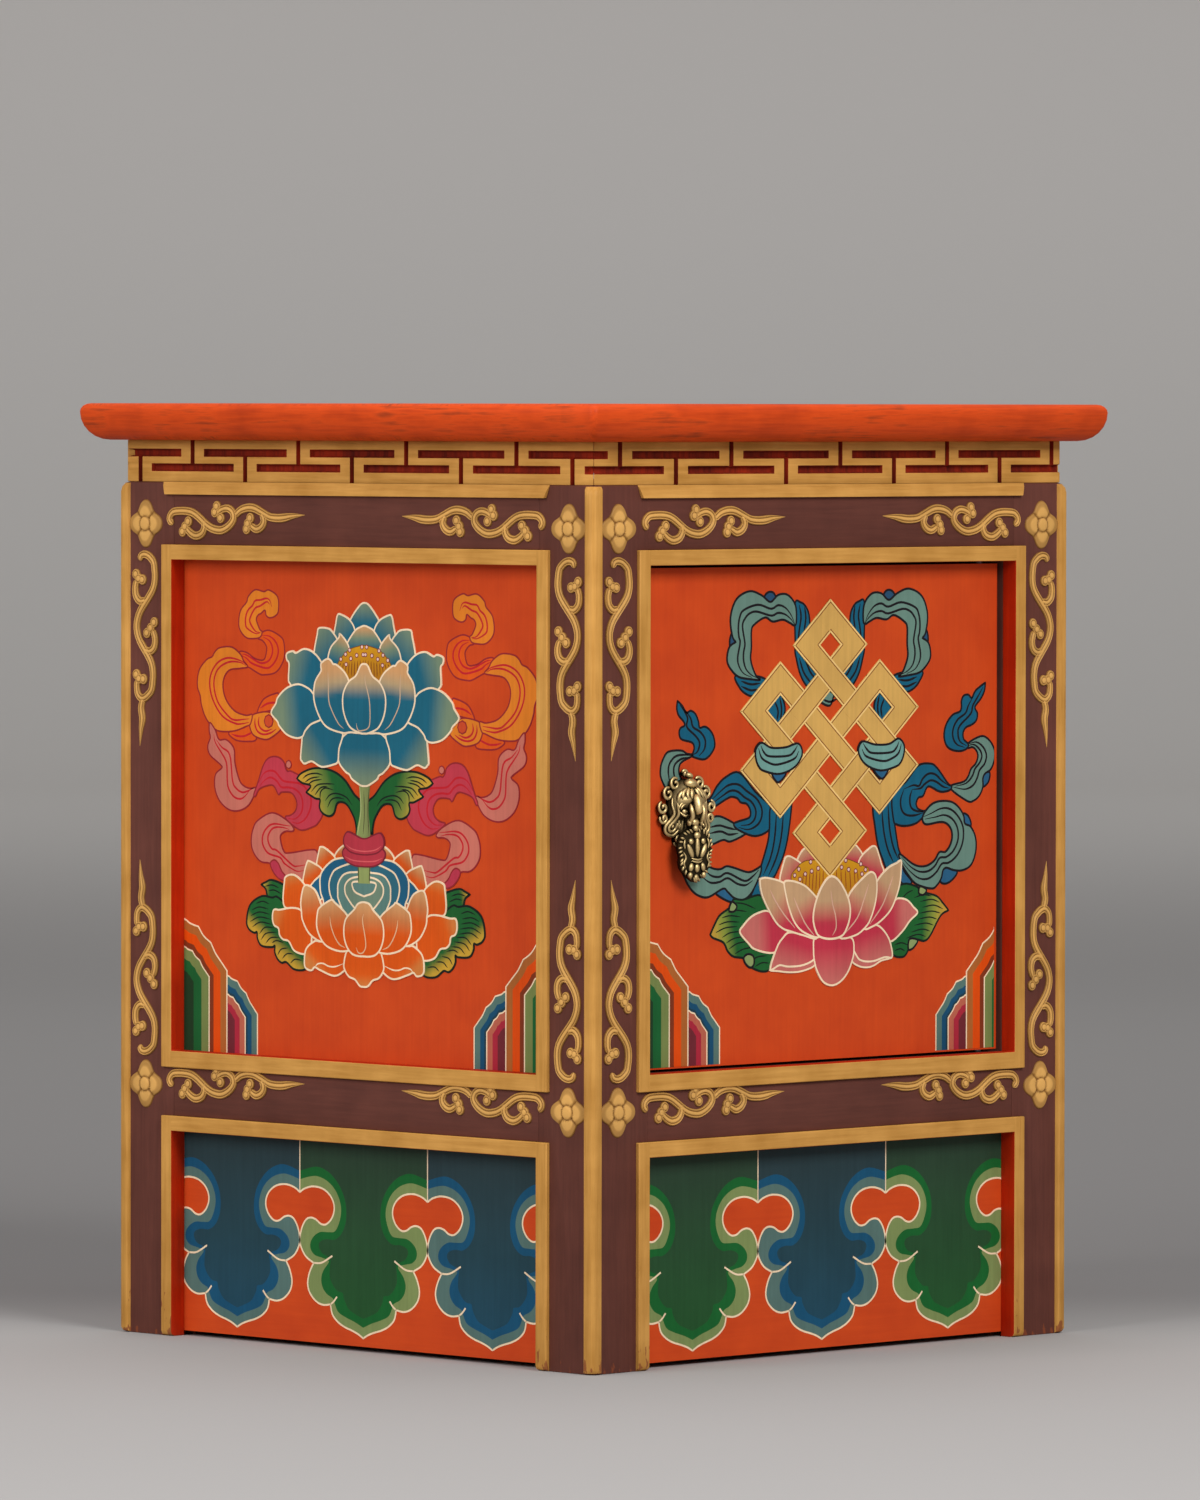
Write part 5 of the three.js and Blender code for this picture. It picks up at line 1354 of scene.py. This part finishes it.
class Relief:
    """Bodies on one face, gathered into one object. A point is u, v and the distance out, in millimetres
    from an origin."""

    def __init__(self, origin=(0, 0, 0)):
        self.origin = np.array(origin)
        self.points, self.faces, self.wear, self.count = [], [], [], 0

    def add(self, rings, wear):
        """A grid of rings becomes a closed body: quads cut in two between neighbours, a fan at both ends."""
        rows, ring = rings.shape[:2]
        row, spot = np.meshgrid(np.arange(rows - 1) * ring, np.arange(ring), indexing="ij")
        first, after = (row + spot).ravel(), (row + (spot + 1) % ring).ravel()
        fan = np.arange(1, ring - 1)
        cap = np.stack([0 * fan, fan, fan + 1], axis=-1)
        faces = [np.stack([first, first + ring, after + ring], axis=-1),
                 np.stack([first, after + ring, after], axis=-1), cap, cap[:, ::-1] + (rows - 1) * ring]
        self.points.append(rings.reshape(-1, 3) + self.origin)
        self.faces.append(np.concatenate(faces) + self.count)
        self.wear.append(np.broadcast_to(wear, (rows, ring)).ravel())
        self.count += rows * ring

    def hang(self, name, face, body, material, hollow, top):
        """All bodies as one object, coloured from the hollow's colour to the top's by their share of rubbing
        and painted light.
        """
        u, v, out = np.concatenate(self.points).T
        wear = np.clip(np.concatenate(self.wear)[:, None], 0, 1)
        colours = np.array(linear(hollow)) * (1 - wear) + np.array(linear(top)) * wear
        colours[:, 3:] = wear
        made = mesh_object(name, face_to_world(face, u, v, out), np.concatenate(self.faces), material, body,
                           colours)
        made.data.shade_smooth()
        made.data.set_sharp_from_angle(angle=SHARP_FROM)
        print(name, "points:", self.count)
        return made


def end_rounding(path, reach, tail=0.0):
    """Share of its full section at each point of a path: the ends are quarter circles over the reach, and a
    tail draws the far end out to a point instead."""
    length = np.concatenate([[0], np.cumsum(np.linalg.norm(np.diff(path, axis=0), axis=1))])
    near, left = (1 - np.clip(end / reach, 0.05, 1) for end in (length, length[-1] - length))
    size = np.sqrt(1 - near ** 2)
    return size * (np.clip((length[-1] - length) / tail, 0.04, 1) ** 0.8 if tail else np.sqrt(1 - left ** 2))

# %% [markdown]
# ## Gilded gesso
# The scrolls and flowers on the maroon frame are squeezed on in thick gesso, engraved with a double line
# and gilded. A painter works with a stencil, so one half of a rail and one end of a stile are written down
# here and mirrored to the rest.

# %% Scrolls
# How far the maroon field stands out from the panels, and a scroll's section.
FIELD_OUT = RECESS - (extent("top_rail_front")[0][1] + HALF)
SCROLL_WIDTH, SCROLL_HEIGHT, ROOT_DEPTH = 4.9, 1.4, -0.2
# From the upper rail down to the middle one, and the height halfway along a stile.
MID_RAIL_DROP, STILE_MIDDLE = 337.0, 319.7
FLOWER_PLACE = (22.4, 487.8)


def ridge(work, places, width=SCROLL_WIDTH, tail=0.0):
    """A flat section carried along a curve. With s across it from -1 to 1 the height is h (1 - s^8)^0.5
    (1 - 0.5 exp(-((|s| - 0.48) / 0.13)^2)): two engraved lines between three rounded ribs. The width swells
    by a sixth halfway along."""
    path = curve(places, closed=False, steps=6)
    heading = headings(path)
    side = np.stack([-heading[:, 1], heading[:, 0]], axis=-1)
    size = end_rounding(path, width / 2, tail)[:, None]
    swell = size * (0.94 + 0.16 * np.sin(math.pi * np.linspace(0, 1, len(path))))[:, None]
    s = np.array([-1, -0.93, -0.78, -0.6, -0.48, -0.36, -0.18, 0, 0.18, 0.36, 0.48, 0.6, 0.78, 0.93, 1])
    groove = np.exp(-((np.abs(s) - 0.48) / 0.13) ** 2)
    rise = SCROLL_HEIGHT * np.sqrt(1 - s ** 8) * (1 - 0.5 * groove)
    flat = path[:, None] + side[:, None] * swell[..., None] * np.append(s, [1, -1])[None, :, None] * width / 2
    out = np.concatenate([rise * size, np.full((len(path), 2), ROOT_DEPTH)], axis=1)
    # Dark in the engraved lines and at the foot, painted shade; light on the ribs, painted highlight.
    painted_light_share = np.concatenate([(1 - groove) * (1 - s ** 8), [0, 0]])
    work.add(np.concatenate([flat, out[..., None] + FIELD_OUT], axis=-1), painted_light_share)


def lobe(work, centre, radius=3.3, height=1.7):
    """The round end of a scroll: at share r of its radius the height is h (1 - r^6)^0.5, less a ring engraved
    at 0.62."""
    share = np.array([0.12, 0.35, 0.5, 0.62, 0.74, 0.86, 0.95, 1.0, 1.0])[:, None]
    turn = np.arange(18) * math.pi / 9
    groove = np.exp(-((share - 0.62) / 0.1) ** 2)
    out = height * np.sqrt(1 - share ** 6) * (1 - 0.35 * groove)
    out[-1] = ROOT_DEPTH
    rings = np.stack([centre[0] + share * radius * np.cos(turn), centre[1] + share * radius * np.sin(turn),
                      np.broadcast_to(out + FIELD_OUT, (len(share), 18))], axis=-1)
    # Dark in its engraved ring and at its foot, painted shade; light on top, painted highlight.
    work.add(rings, (1 - groove) * (1 - share ** 8))

# %% Flowers
def flower(work, centre):
    """Four petals and a button. At angle a the outline is 10.4 + 4.2 (1 - |sin 2a|^2.2) millimetres from the
    middle, and at share r of that the height is h (1 - r^6)^0.5, less the valleys between the petals, an
    engraved line inside the outline, and a ring round the button."""
    share = np.array([0.06, 0.16, 0.25, 0.3, 0.35, 0.42, 0.55, 0.68, 0.76, 0.84, 0.92, 0.97, 1, 1])[:, None]
    turn = np.arange(72) * math.pi / 36
    away = share * (10.4 + 4.2 * (1 - np.abs(np.sin(2 * turn)) ** 2.2))
    valley = np.exp(-(away * (np.abs(turn % (math.pi / 2) - math.pi / 4)) / 0.7) ** 2) * (away > 4)
    line = np.exp(-((away - 4.4) / 0.5) ** 2) + 0.7 * np.exp(-((share - 0.8) / 0.05) ** 2)
    out = SCROLL_HEIGHT * np.sqrt(1 - share ** 6) * (1 - 0.5 * valley) - 0.45 * line
    out = out + 0.7 * np.sqrt(np.clip(1 - (away / 4.2) ** 2, 0, 1))
    out[-1] = ROOT_DEPTH
    rings = np.stack([centre[0] + away * np.cos(turn), centre[1] + away * np.sin(turn), out + FIELD_OUT],
                     axis=-1)
    # Dark in the valleys, the engraved lines and at the foot, painted shade; light on the petals, painted
    # highlight.
    work.add(rings, np.clip((1 - valley - line) * (1 - share ** 8), 0, 1))

# %% A rail and a stile
rail_ridges = [
    [(46.4, 487.4), (43.8, 490.4), (45.2, 493.6), (50, 495.4), (64, 494.6), (77, 487), (83.5, 484.7),
     (90, 484.5), (96.3, 487.3), (99.9, 491.4), (98.8, 495.4), (94.4, 497.4), (89, 496.4), (85.4, 494)],
    [(101, 493), (106, 496.4), (112, 497.9), (118, 497.6), (124.5, 495.2), (130, 493)],
    [(124, 495), (126.3, 490.6), (124.3, 486.9), (119.6, 485.2), (114.5, 487.6)],
    [(73.2, 490.2), (74.4, 486), (72, 482.2), (66.8, 480.8), (62, 482.6), (58, 486)],
]
rail_tail = [(126.5, 494.6), (132, 492.4), (141, 492), (151, 493.3), (161, 494)]
rail_lobes = [(85.4, 498.6), (83.8, 495), (88.8, 491.6), (111.4, 485.2), (112.4, 488.4), (114.6, 491.8),
              (55.4, 483.2), (57.6, 486.2), (60.4, 489.3)]
stile_ridges = [
    [(17.6, 465.3), (18.6, 468.4), (22.5, 469.2), (27, 467.2), (30.2, 462.5), (29.6, 449.5), (16.5, 433),
     (15.9, 420), (27.9, 403.5), (28.4, 390), (24.6, 384.8), (19.5, 382.6), (15.8, 385), (14.8, 389.4),
     (15.2, 394)],
    [(22.5, 441.8), (17.8, 441), (14.2, 444), (13.4, 449), (14.8, 454)],
    [(20.5, 412.2), (26, 411), (30, 413.4), (31, 418.5), (29, 424)],
]
stile_tail = [(20.4, 382.8), (18.6, 377), (19.6, 370.5), (18.2, 363.5), (16.9, 354)]
stile_lobes = [(14.2, 457.3), (16.6, 454.6), (19.9, 454), (14.6, 397), (17, 394.4), (20.8, 394.2),
               (30.3, 428.5), (27.2, 425), (23.9, 422)]

# %% Gesso on three faces
def gesso_face(name, face):
    """Everything on one face: four flowers, four half rails and four stile ends."""
    work = Relief()
    upper, lower, turned = (lambda v: v), (lambda v: v - MID_RAIL_DROP), (lambda v: 2 * STILE_MIDDLE - v)
    for across in ((lambda u: u), (lambda u: 2 * HALF - u)):
        for up in (upper, lower):
            flower(work, (across(FLOWER_PLACE[0]), up(FLOWER_PLACE[1])))
        for ridges, tail, lobes, ways in ((rail_ridges, rail_tail, rail_lobes, (upper, lower)),
                                          (stile_ridges, stile_tail, stile_lobes, (upper, turned))):
            for up in ways:
                for row in ridges + [tail]:
                    ridge(work, [(across(u), up(v)) for u, v in row], tail=16.0 * (row is tail))
                for u, v in lobes:
                    lobe(work, (across(u), up(v)))
    # Dark brown in the hollows for painted shade, light gold on the tops for painted highlight.
    return work.hang(name, face, "carcass", gilded_gesso, "#7C5222", "#DCA75C")


# Gilding with a little sheen, dark in the engraved lines and at the foot of each rib and light on the tops:
# painted shade and painted highlight, so that the scrolls catch the light.
gilded_gesso = painted_wood("gilded_gesso", "#FFFFFF", "#E4E4E4", roughness=0.42, streaks=0.2,
                            attribute="pigment")
for face in (FRONT, RIGHT, LEFT):
    gesso_face("gesso_" + FACE_NAMES[face], face)

# %% [markdown]
# ## The handle
# The handle is cast in brass: a beast's mask among curls, with a pendant on a pin between its fangs. Its
# model was built up from rolls and pellets of wax, and the same two shapes build it here. Dark patina stays
# in the hollows, and hands have rubbed the tops bright; the colour also carries painted shade in the hollows
# and a painted highlight on whatever faces out.

# %% Rolls and pellets
bolt_low, bolt_high = extent("handle_bolt")
pin_low, pin_high = extent("pendant_pin")
MASK = np.array([(bolt_low[0] + bolt_high[0]) / 2 + HALF, (bolt_low[2] + bolt_high[2]) / 2, 0])
PIN = np.array([MASK[0], (pin_low[2] + pin_high[2]) / 2, RECESS - HALF - (pin_low[1] + pin_high[1]) / 2])


def roll(work, places, radii, rub_and_light=0.25, across=False):
    """A round section carried along a path. With heading t, and n the way out squared to t (or the way
    across, for a path that runs outwards), the ring is c + r (cos a n + sin a n x t). Its colour share grows
    with the rubbing setting and with how far it faces out: rubbed brass, and a painted highlight on what
    faces out."""
    path = curve(places, closed=False, steps=4)
    radius = np.interp(np.linspace(0, 1, len(path)), np.linspace(0, 1, len(radii)), radii)
    radius = radius * end_rounding(path, max(radii))
    heading = headings(path)
    aim = np.array([1.0, 0, 0] if across else [0, 0, 1.0])
    ahead = aim - (heading @ aim)[:, None] * heading
    ahead /= np.linalg.norm(ahead, axis=1)[:, None]
    turn = np.arange(10)[None, :, None] * math.pi / 5
    facing = np.cos(turn) * ahead[:, None] + np.sin(turn) * np.cross(ahead, heading)[:, None]
    work.add(path[:, None] + radius[:, None, None] * facing, rub_and_light - 0.25 + 1.05 * facing[..., 2])


def pellet(work, centre, half, lean=0.0, rub_and_light=0.25):
    """An ellipsoid: at height t from -1 to 1 its ring is (1 - t^2)^0.5 wide. It leans in the face's plane."""
    t = np.sin(np.linspace(-0.48, 0.48, 9) * math.pi)[:, None]
    turn = np.arange(12) * math.pi / 6
    wide = np.sqrt(1 - t ** 2)
    facing = np.stack([wide * np.cos(turn), t + 0 * turn, wide * np.sin(turn)], axis=-1)
    u, v, out = np.moveaxis(facing * half, -1, 0)
    rings = np.stack([u * math.cos(lean) - v * math.sin(lean), u * math.sin(lean) + v * math.cos(lean), out],
                     axis=-1)
    # Lighter where it faces out, rubbed brass with a painted highlight; a low setting makes it a dark patch
    # of painted shade.
    work.add(rings + centre, rub_and_light - 0.25 + 1.05 * facing[..., 2])


def curl(work, centre, reach, start, side, turns=1.3, out=2.3, thick=1.15):
    """A roll along a spiral: at share s the distance is R (0.2 + 0.8 s) and the angle start + 2 pi n s. It
    rises towards its middle, on a dark pellet that backs it: painted shade under the curl."""
    s = np.linspace(0, 1, 12)
    angle, away = start + 2 * math.pi * turns * s, reach * (0.2 + 0.8 * s)
    places = np.stack([side * (centre[0] + away * np.cos(angle)), centre[1] + away * np.sin(angle),
                       out + 1.3 * (1 - s)], axis=-1)
    roll(work, places, [0.9 * thick, thick, thick, 0.8 * thick])
    pellet(work, (side * centre[0], centre[1], 0.9), (0.8 * reach, 0.8 * reach, 1.5), rub_and_light=-0.4)

# %% Face of the mask
def face_of_mask(work):
    """A dome on an ellipse. At share r of its reach it stands out 2.4 + 7.4 (1 - r^2.4)^0.7, with a hollow
    for each eye, a swelling for each brow and cheek, and a flat mouth where the pendant swings."""
    share = np.array([0.04, 0.15, 0.28, 0.4, 0.5, 0.6, 0.7, 0.8, 0.88, 0.95, 1.0, 1.0])[:, None]
    turn = np.arange(48) * math.pi / 24
    u, v = 15.0 * share * np.cos(turn), 17.0 * share * np.sin(turn)
    out = 2.4 + 7.4 * (1 - share ** 2.4) ** 0.7
    hollow = np.exp(-((np.abs(u) - 6.6) / 3.2) ** 2 - ((v + 1.5) / 2.4) ** 2)
    brow = np.exp(-((np.abs(u) - 6.5) / 5) ** 2 - ((v - 5.5) / 2.4) ** 2)
    out = np.minimum(out - 2.0 * hollow + 1.6 * brow, 4.6 + 1.8 * np.clip(v + 5.0, 0, 9))
    out[-1] = 0.02
    # Lighter the higher it stands and on the brows, darker in the eye hollows: patina and rubbing, with
    # painted highlight and painted shade.
    work.add(np.stack([u, v, out], axis=-1), 0.055 * out - 0.05 - 0.6 * hollow + 0.3 * brow)

# %% Brow, nose and curls
mask = Relief(MASK)
face_of_mask(mask)
roll(mask, [(0, 8, 8.5), (0, 5.5, 10.6), (0, 2.4, 11.6), (0, -0.8, 11.8), (0, -3.4, 11.0)],
     [2.2, 2.7, 3.0, 3.1, 2.6], rub_and_light=0.35, across=True)
pellet(mask, (0, 14.4, 5.6), (5.0, 3.1, 3.6), rub_and_light=0.5)
pellet(mask, (0.4, 19.0, 4.0), (3.2, 1.9, 2.4), lean=-0.3)
curl(mask, (-1.6, 20.2), 2.1, 1.0, 1)
curls = (((10.0, 14.2), 3.9, 0.5), ((15.6, 8.6), 4.0, 0.2), ((19.8, 0.6), 3.7, -0.4),
         ((19.2, -5.6), 3.0, -1.4), ((7.6, -18.2), 3.5, -2.4))
hair = [[(1.2, 11.8, 7.8), (2.6, 8.8, 9.0), (3.4, 5.4, 10.4)],
        [(2.6, 12.0, 7.4), (5.2, 9.4, 8.3), (6.4, 5.8, 10.2)],
        [(3.8, 11.8, 7.2), (7.8, 9.2, 7.4), (9.4, 5.6, 9.0)],
        [(4.8, 11.2, 7.2), (9.8, 8.2, 6.8), (11.8, 4.2, 7.0)]]
mane = [[(13.4, 6.4, 4.2), (14.0, 2, 4.7), (13.0, -2.6, 5.4), (14.8, -6.4, 4.0), (17.8, -10, 2.9),
         (17.6, -13.6, 2.7), (12.8, -15.8, 2.9), (8.4, -13.2, 3.3), (6.8, -8.6, 4.4)],
        [(11.6, 3.4, 6.8), (11.4, 0.4, 6.9), (10.9, -3.2, 6.7), (12.4, -7, 4.6), (15.2, -10.4, 3.2),
         (15.0, -12.6, 3.0), (12.4, -13.3, 3.2), (10.3, -11.4, 3.6), (9.4, -8, 4.8)],
        [(12.0, -9, 3.8), (12.8, -10.6, 3.5), (12.2, -11, 3.5)]]

# %% Both halves of the mask
for side in (-1, 1):
    for centre, reach, start in curls:
        curl(mask, centre, reach, start, side)
    for row in mane:
        roll(mask, [(side * u, v, out) for u, v, out in row], [0.6, 1.1, 1.15, 1.1, 0.9], rub_and_light=0.2)
    # A dark pellet under the mane: painted shade.
    pellet(mask, (side * 12.8, -10.4, 0.9), (6.0, 6.2, 2.2), rub_and_light=-0.6)
    for row in hair:
        roll(mask, [(side * u, v, out) for u, v, out in row], [0.7, 1.5, 1.35, 0.6], rub_and_light=0.3)
    for reach in (3.6, 4.9):
        angle = np.linspace(0.25, 2.9, 6)
        roll(mask, np.stack([side * (6.6 + reach * 1.05 * np.cos(angle)), -1.2 + reach * np.sin(angle),
                             9.4 - 0.35 * reach + 0 * angle], axis=-1), [0.6, 0.9, 0.9, 0.6])
    roll(mask, [(side * 3.4, -2.6, 8.6), (side * 6.8, -4.2, 8.2), (side * 10.6, -1.4, 6.6)],
         [0.6, 0.9, 0.5])
    pellet(mask, (side * 6.8, -1.7, 7.8), (2.5, 1.6, 1.5), lean=side * 0.15, rub_and_light=0.35)
    pellet(mask, (side * 6.4, -1.7, 8.7), (0.9, 0.9, 0.9), rub_and_light=-0.3)
    # Dark pellets in the nostrils: painted shade.
    pellet(mask, (side * 3.2, 2.2, 10.6), (1.3, 1.5, 1.3), rub_and_light=-0.7)
    roll(mask, [(side * 4.4, 3.0, 10.2), (side * 4.9, -0.5, 11.6), (side * 4.3, -4.4, 11.8),
                (side * 4.6, -8, 9.4)], [0.8, 1.4, 1.5, 1.3], rub_and_light=0.35)
    pellet(mask, (side * 4.8, PIN[1] - MASK[1], PIN[2]), (1.3, 2.3, 2.3), rub_and_light=0.3)
    for u, foot in ((2.4, -17), (5.2, -16), (8, -13)):
        roll(mask, [(side * u, -6, 4.4), (side * (u + 0.8), foot / 2 - 4, 4.0), (side * u, foot, 1.8)],
             [1.1, 1.2, 0.7], rub_and_light=-0.15)
print("rings of wax in the mask:", len(mask.points))

# %% Shield of the pendant
pendant = Relief(PIN)
half_outline = [(0, -4), (5.6, -4.3), (10.4, -6.4), (13, -10.6), (13.8, -15.5), (12.4, -20), (12.6, -24),
                (10.6, -28.2), (3.4, -33.6), (0, -34.8)]
border = curve([(-u, v) for u, v in half_outline] + [(u, v) for u, v in half_outline[-2:0:-1]], steps=4)
SHIELD_MIDDLE = np.array([0, -18.0])


def shield(work):
    """A closed lens inside the border: the rings run out across the front, which swells by 1.5 to its middle,
    and back in across the flat back."""
    share = np.array([0.05, 0.3, 0.6, 0.8, 0.93, 1.0, 1.0, 0.93, 0.5, 0.05])[:, None]
    front = np.arange(10)[:, None] < 6
    flat = SHIELD_MIDDLE + share[..., None] * (border - SHIELD_MIDDLE)
    out = np.where(front, 0.6 + 1.5 * (1 - share ** 3), -1.4)
    rings = np.concatenate([flat, np.broadcast_to(out, flat.shape[:2])[..., None]], axis=-1)
    # The face of the shield stays dark between its beads: patina with painted shade.
    work.add(rings, 0.05 * front)

# %% Beads and petals on the pendant
shield(pendant)
rim = SHIELD_MIDDLE + 0.93 * (border - SHIELD_MIDDLE)
for place in np.arange(3, len(rim) - 1, 2.4):
    u, v = rim[int(place)]
    away = (u, v) - SHIELD_MIDDLE
    pellet(pendant, (u, v, 1.0), (0.8, 1.8, 1.2), lean=math.atan2(-away[0], away[1]) + 0.5, rub_and_light=0.1)
roll(pendant, [(-3, 0, 0), (0, 0, 0), (3, 0, 0)], [2.4, 2.4])
roll(pendant, [(0, -1, 0), (0, -3.5, 0.2), (0, -6, 0.4)], [2.3, 2.6], rub_and_light=0.1)
for v in (-21.8, -23.2):
    roll(pendant, [(-4.4, v + 0.9, 2.2), (0, v, 2.9), (4.4, v + 0.9, 2.2)], [0.5, 0.7, 0.5], rub_and_light=0.2)
pellet(pendant, (0, -7.6, 2.0), (2.6, 2.3, 1.9), rub_and_light=0.35)
pellet(pendant, (0, -14.2, 2.2), (1.7, 6.2, 1.6), rub_and_light=0.3)
pellet(pendant, (0, -26.6, 1.9), (2.0, 2.7, 1.6), rub_and_light=0.3)
pellet(pendant, (0, -32.2, 1.2), (2.0, 2.2, 1.5), rub_and_light=0.2)
for side in (-1, 1):
    for (u, v), half, lean in (((5.0, -11.0), (1.9, 1.9), 0.4), ((5.4, -16.6), (1.9, 4.9), 0.5),
                               ((4.9, -26.0), (1.8, 2.7), -0.3), ((5.6, -30.6), (1.8, 1.9), -0.3)):
        pellet(pendant, (side * u, v, 1.9), (*half, 1.6), lean=-side * lean, rub_and_light=0.3)
    for row in ([(9.4, -9.6), (10.2, -12.6), (9.4, -15.4)],
                [(10.6, -17), (8.8, -20.4), (10.4, -23.4), (9.2, -26.4)]):
        roll(pendant, [(side * u, v, 1.7) for u, v in row], [0.4, 0.8, 0.8, 0.5], rub_and_light=0.1)

# %% Hang the handle
# Near-black in the hollows, patina with painted shade, and pale brass on the tops, rubbed metal with a
# painted highlight.
HOLLOW_PATINA_AND_SHADE, RUBBED_BRASS_AND_HIGHLIGHT = "#120E0A", "#F4D698"
handle_mask = mask.hang("beast_mask", FRONT, "door", cast_brass, HOLLOW_PATINA_AND_SHADE, RUBBED_BRASS_AND_HIGHLIGHT)
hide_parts("handle_backplate")
handle_drop = pendant.hang("lotus_pendant", FRONT, "pendant", cast_brass, HOLLOW_PATINA_AND_SHADE, RUBBED_BRASS_AND_HIGHLIGHT)
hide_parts("handle_pendant")

# %% [markdown]
# ## The studio
# A sheet of seamless paper is the floor and curves up far behind into the backdrop, so that no corner shows.
# Three large soft lamps light the cabinet, and a fourth lights the paper behind it.

# %% Floor and backdrop
def sweep_floor():
    """A sheet extruded along a line square to the view: flat, then a quarter circle, then upright."""
    near, far, bend, tall, wide = -9.0, 9.0, 1.5, 6.0, 24.0
    angle = np.linspace(0, math.pi / 2, 13)
    run = np.concatenate([[near], far + bend * np.sin(angle), [far + bend]])
    rise = np.concatenate([[0.0], bend * (1 - np.cos(angle)), [tall]])
    side = np.array([-wide / 2, wide / 2])
    ahead = np.array([DIAGONAL, DIAGONAL])
    across = np.array([DIAGONAL, -DIAGONAL])
    plan = run[:, None, None] * ahead + side[None, :, None] * across
    height = np.broadcast_to(rise[:, None, None], (*plan.shape[:2], 1))
    grid = np.concatenate([plan, height], axis=-1)
    first = np.arange(len(run) - 1) * 2
    faces = np.stack([first, first + 1, first + 3, first + 2], axis=-1)
    mesh = bpy.data.meshes.new("studio_floor")
    mesh.from_pydata(grid.reshape(-1, 3).tolist(), [], faces.tolist())
    mesh.shade_smooth()
    return in_scene("studio_floor", mesh)

# %% Paper
def seamless_paper():
    """Grey paper under and before the cabinet. Behind it the colour carries painted shade where the lamps
    reach
    less far down: it drops over half a metre, and comes back as painted light with distance and up the wall."""
    material, tree, shader, place = new_material("seamless_paper")
    ahead = node(tree, "ShaderNodeVectorMath", {"operation": "DOT_PRODUCT", 1: (DIAGONAL, DIAGONAL, 0)},
                 i0=place).outputs["Value"]
    height = node(tree, "ShaderNodeSeparateXYZ", i0=place).outputs["Z"]
    paper_with_painted_light = None
    # Painted shade just behind the cabinet, painted light further back and up the wall.
    for share_of, start, end, grey in ((ahead, -0.05, 0.3, "#7F7C7B"), (ahead, 0.4, 3.5, "#A09D9B"),
                                       (ahead, 3.5, 9.0, "#D2CFCB"), (height, 0.0, 1.2, "#E4E0DC")):
        share = node(tree, "ShaderNodeMapRange", {"interpolation_type": "SMOOTHSTEP", 1: start, 2: end},
                     i0=share_of)
        before = {"i6": paper_with_painted_light.outputs[2]} if paper_with_painted_light else {}
        paper_with_painted_light = node(tree, "ShaderNodeMix", {"data_type": "RGBA", 6: linear("#A3A09E"), 7: linear(grey)},
                    i0=share.outputs[0], **before)
    tree.links.new(paper_with_painted_light.outputs[2], shader.inputs["Base Color"])
    shader.inputs["Roughness"].default_value = 0.9
    return material


floor = sweep_floor()
floor.data.materials.append(seamless_paper())

# %% Lamps
def softbox(name, place, aim, size, watts):
    """A square area lamp at a place, turned towards a point, all in metres."""
    lamp = in_scene(name, bpy.data.lights.new(name, "AREA"))
    lamp.data.shape = "SQUARE"
    lamp.data.size = size
    lamp.data.energy = watts
    lamp.location = place
    lamp.rotation_mode = "QUATERNION"
    lamp.rotation_quaternion = (Vector(aim) - Vector(place)).to_track_quat("-Z", "Y")


softbox("key_lamp", (-0.7, -3.2, 2.5), (0, 0, 0.3), 1.6, 101)
softbox("fill_lamp", (-3.4, 0.0, 2.0), (0, 0, 0.3), 2.2, 80)
softbox("top_lamp", (0.3, 0.3, 3.4), (0, 0, 0.3), 2.4, 30)
softbox("backdrop_lamp", (4.2, 4.2, 5.4), (7.6, 7.6, 0.4), 2.0, 44)
scene.world = bpy.data.worlds.new("studio")
scene.world.use_nodes = True
sky = scene.world.node_tree.nodes["Background"]
sky.inputs["Color"].default_value = linear("#E8E8EA")
sky.inputs["Strength"].default_value = 0.4
scene.view_settings.view_transform = "Standard"
print("lamps:", len(bpy.data.lights))
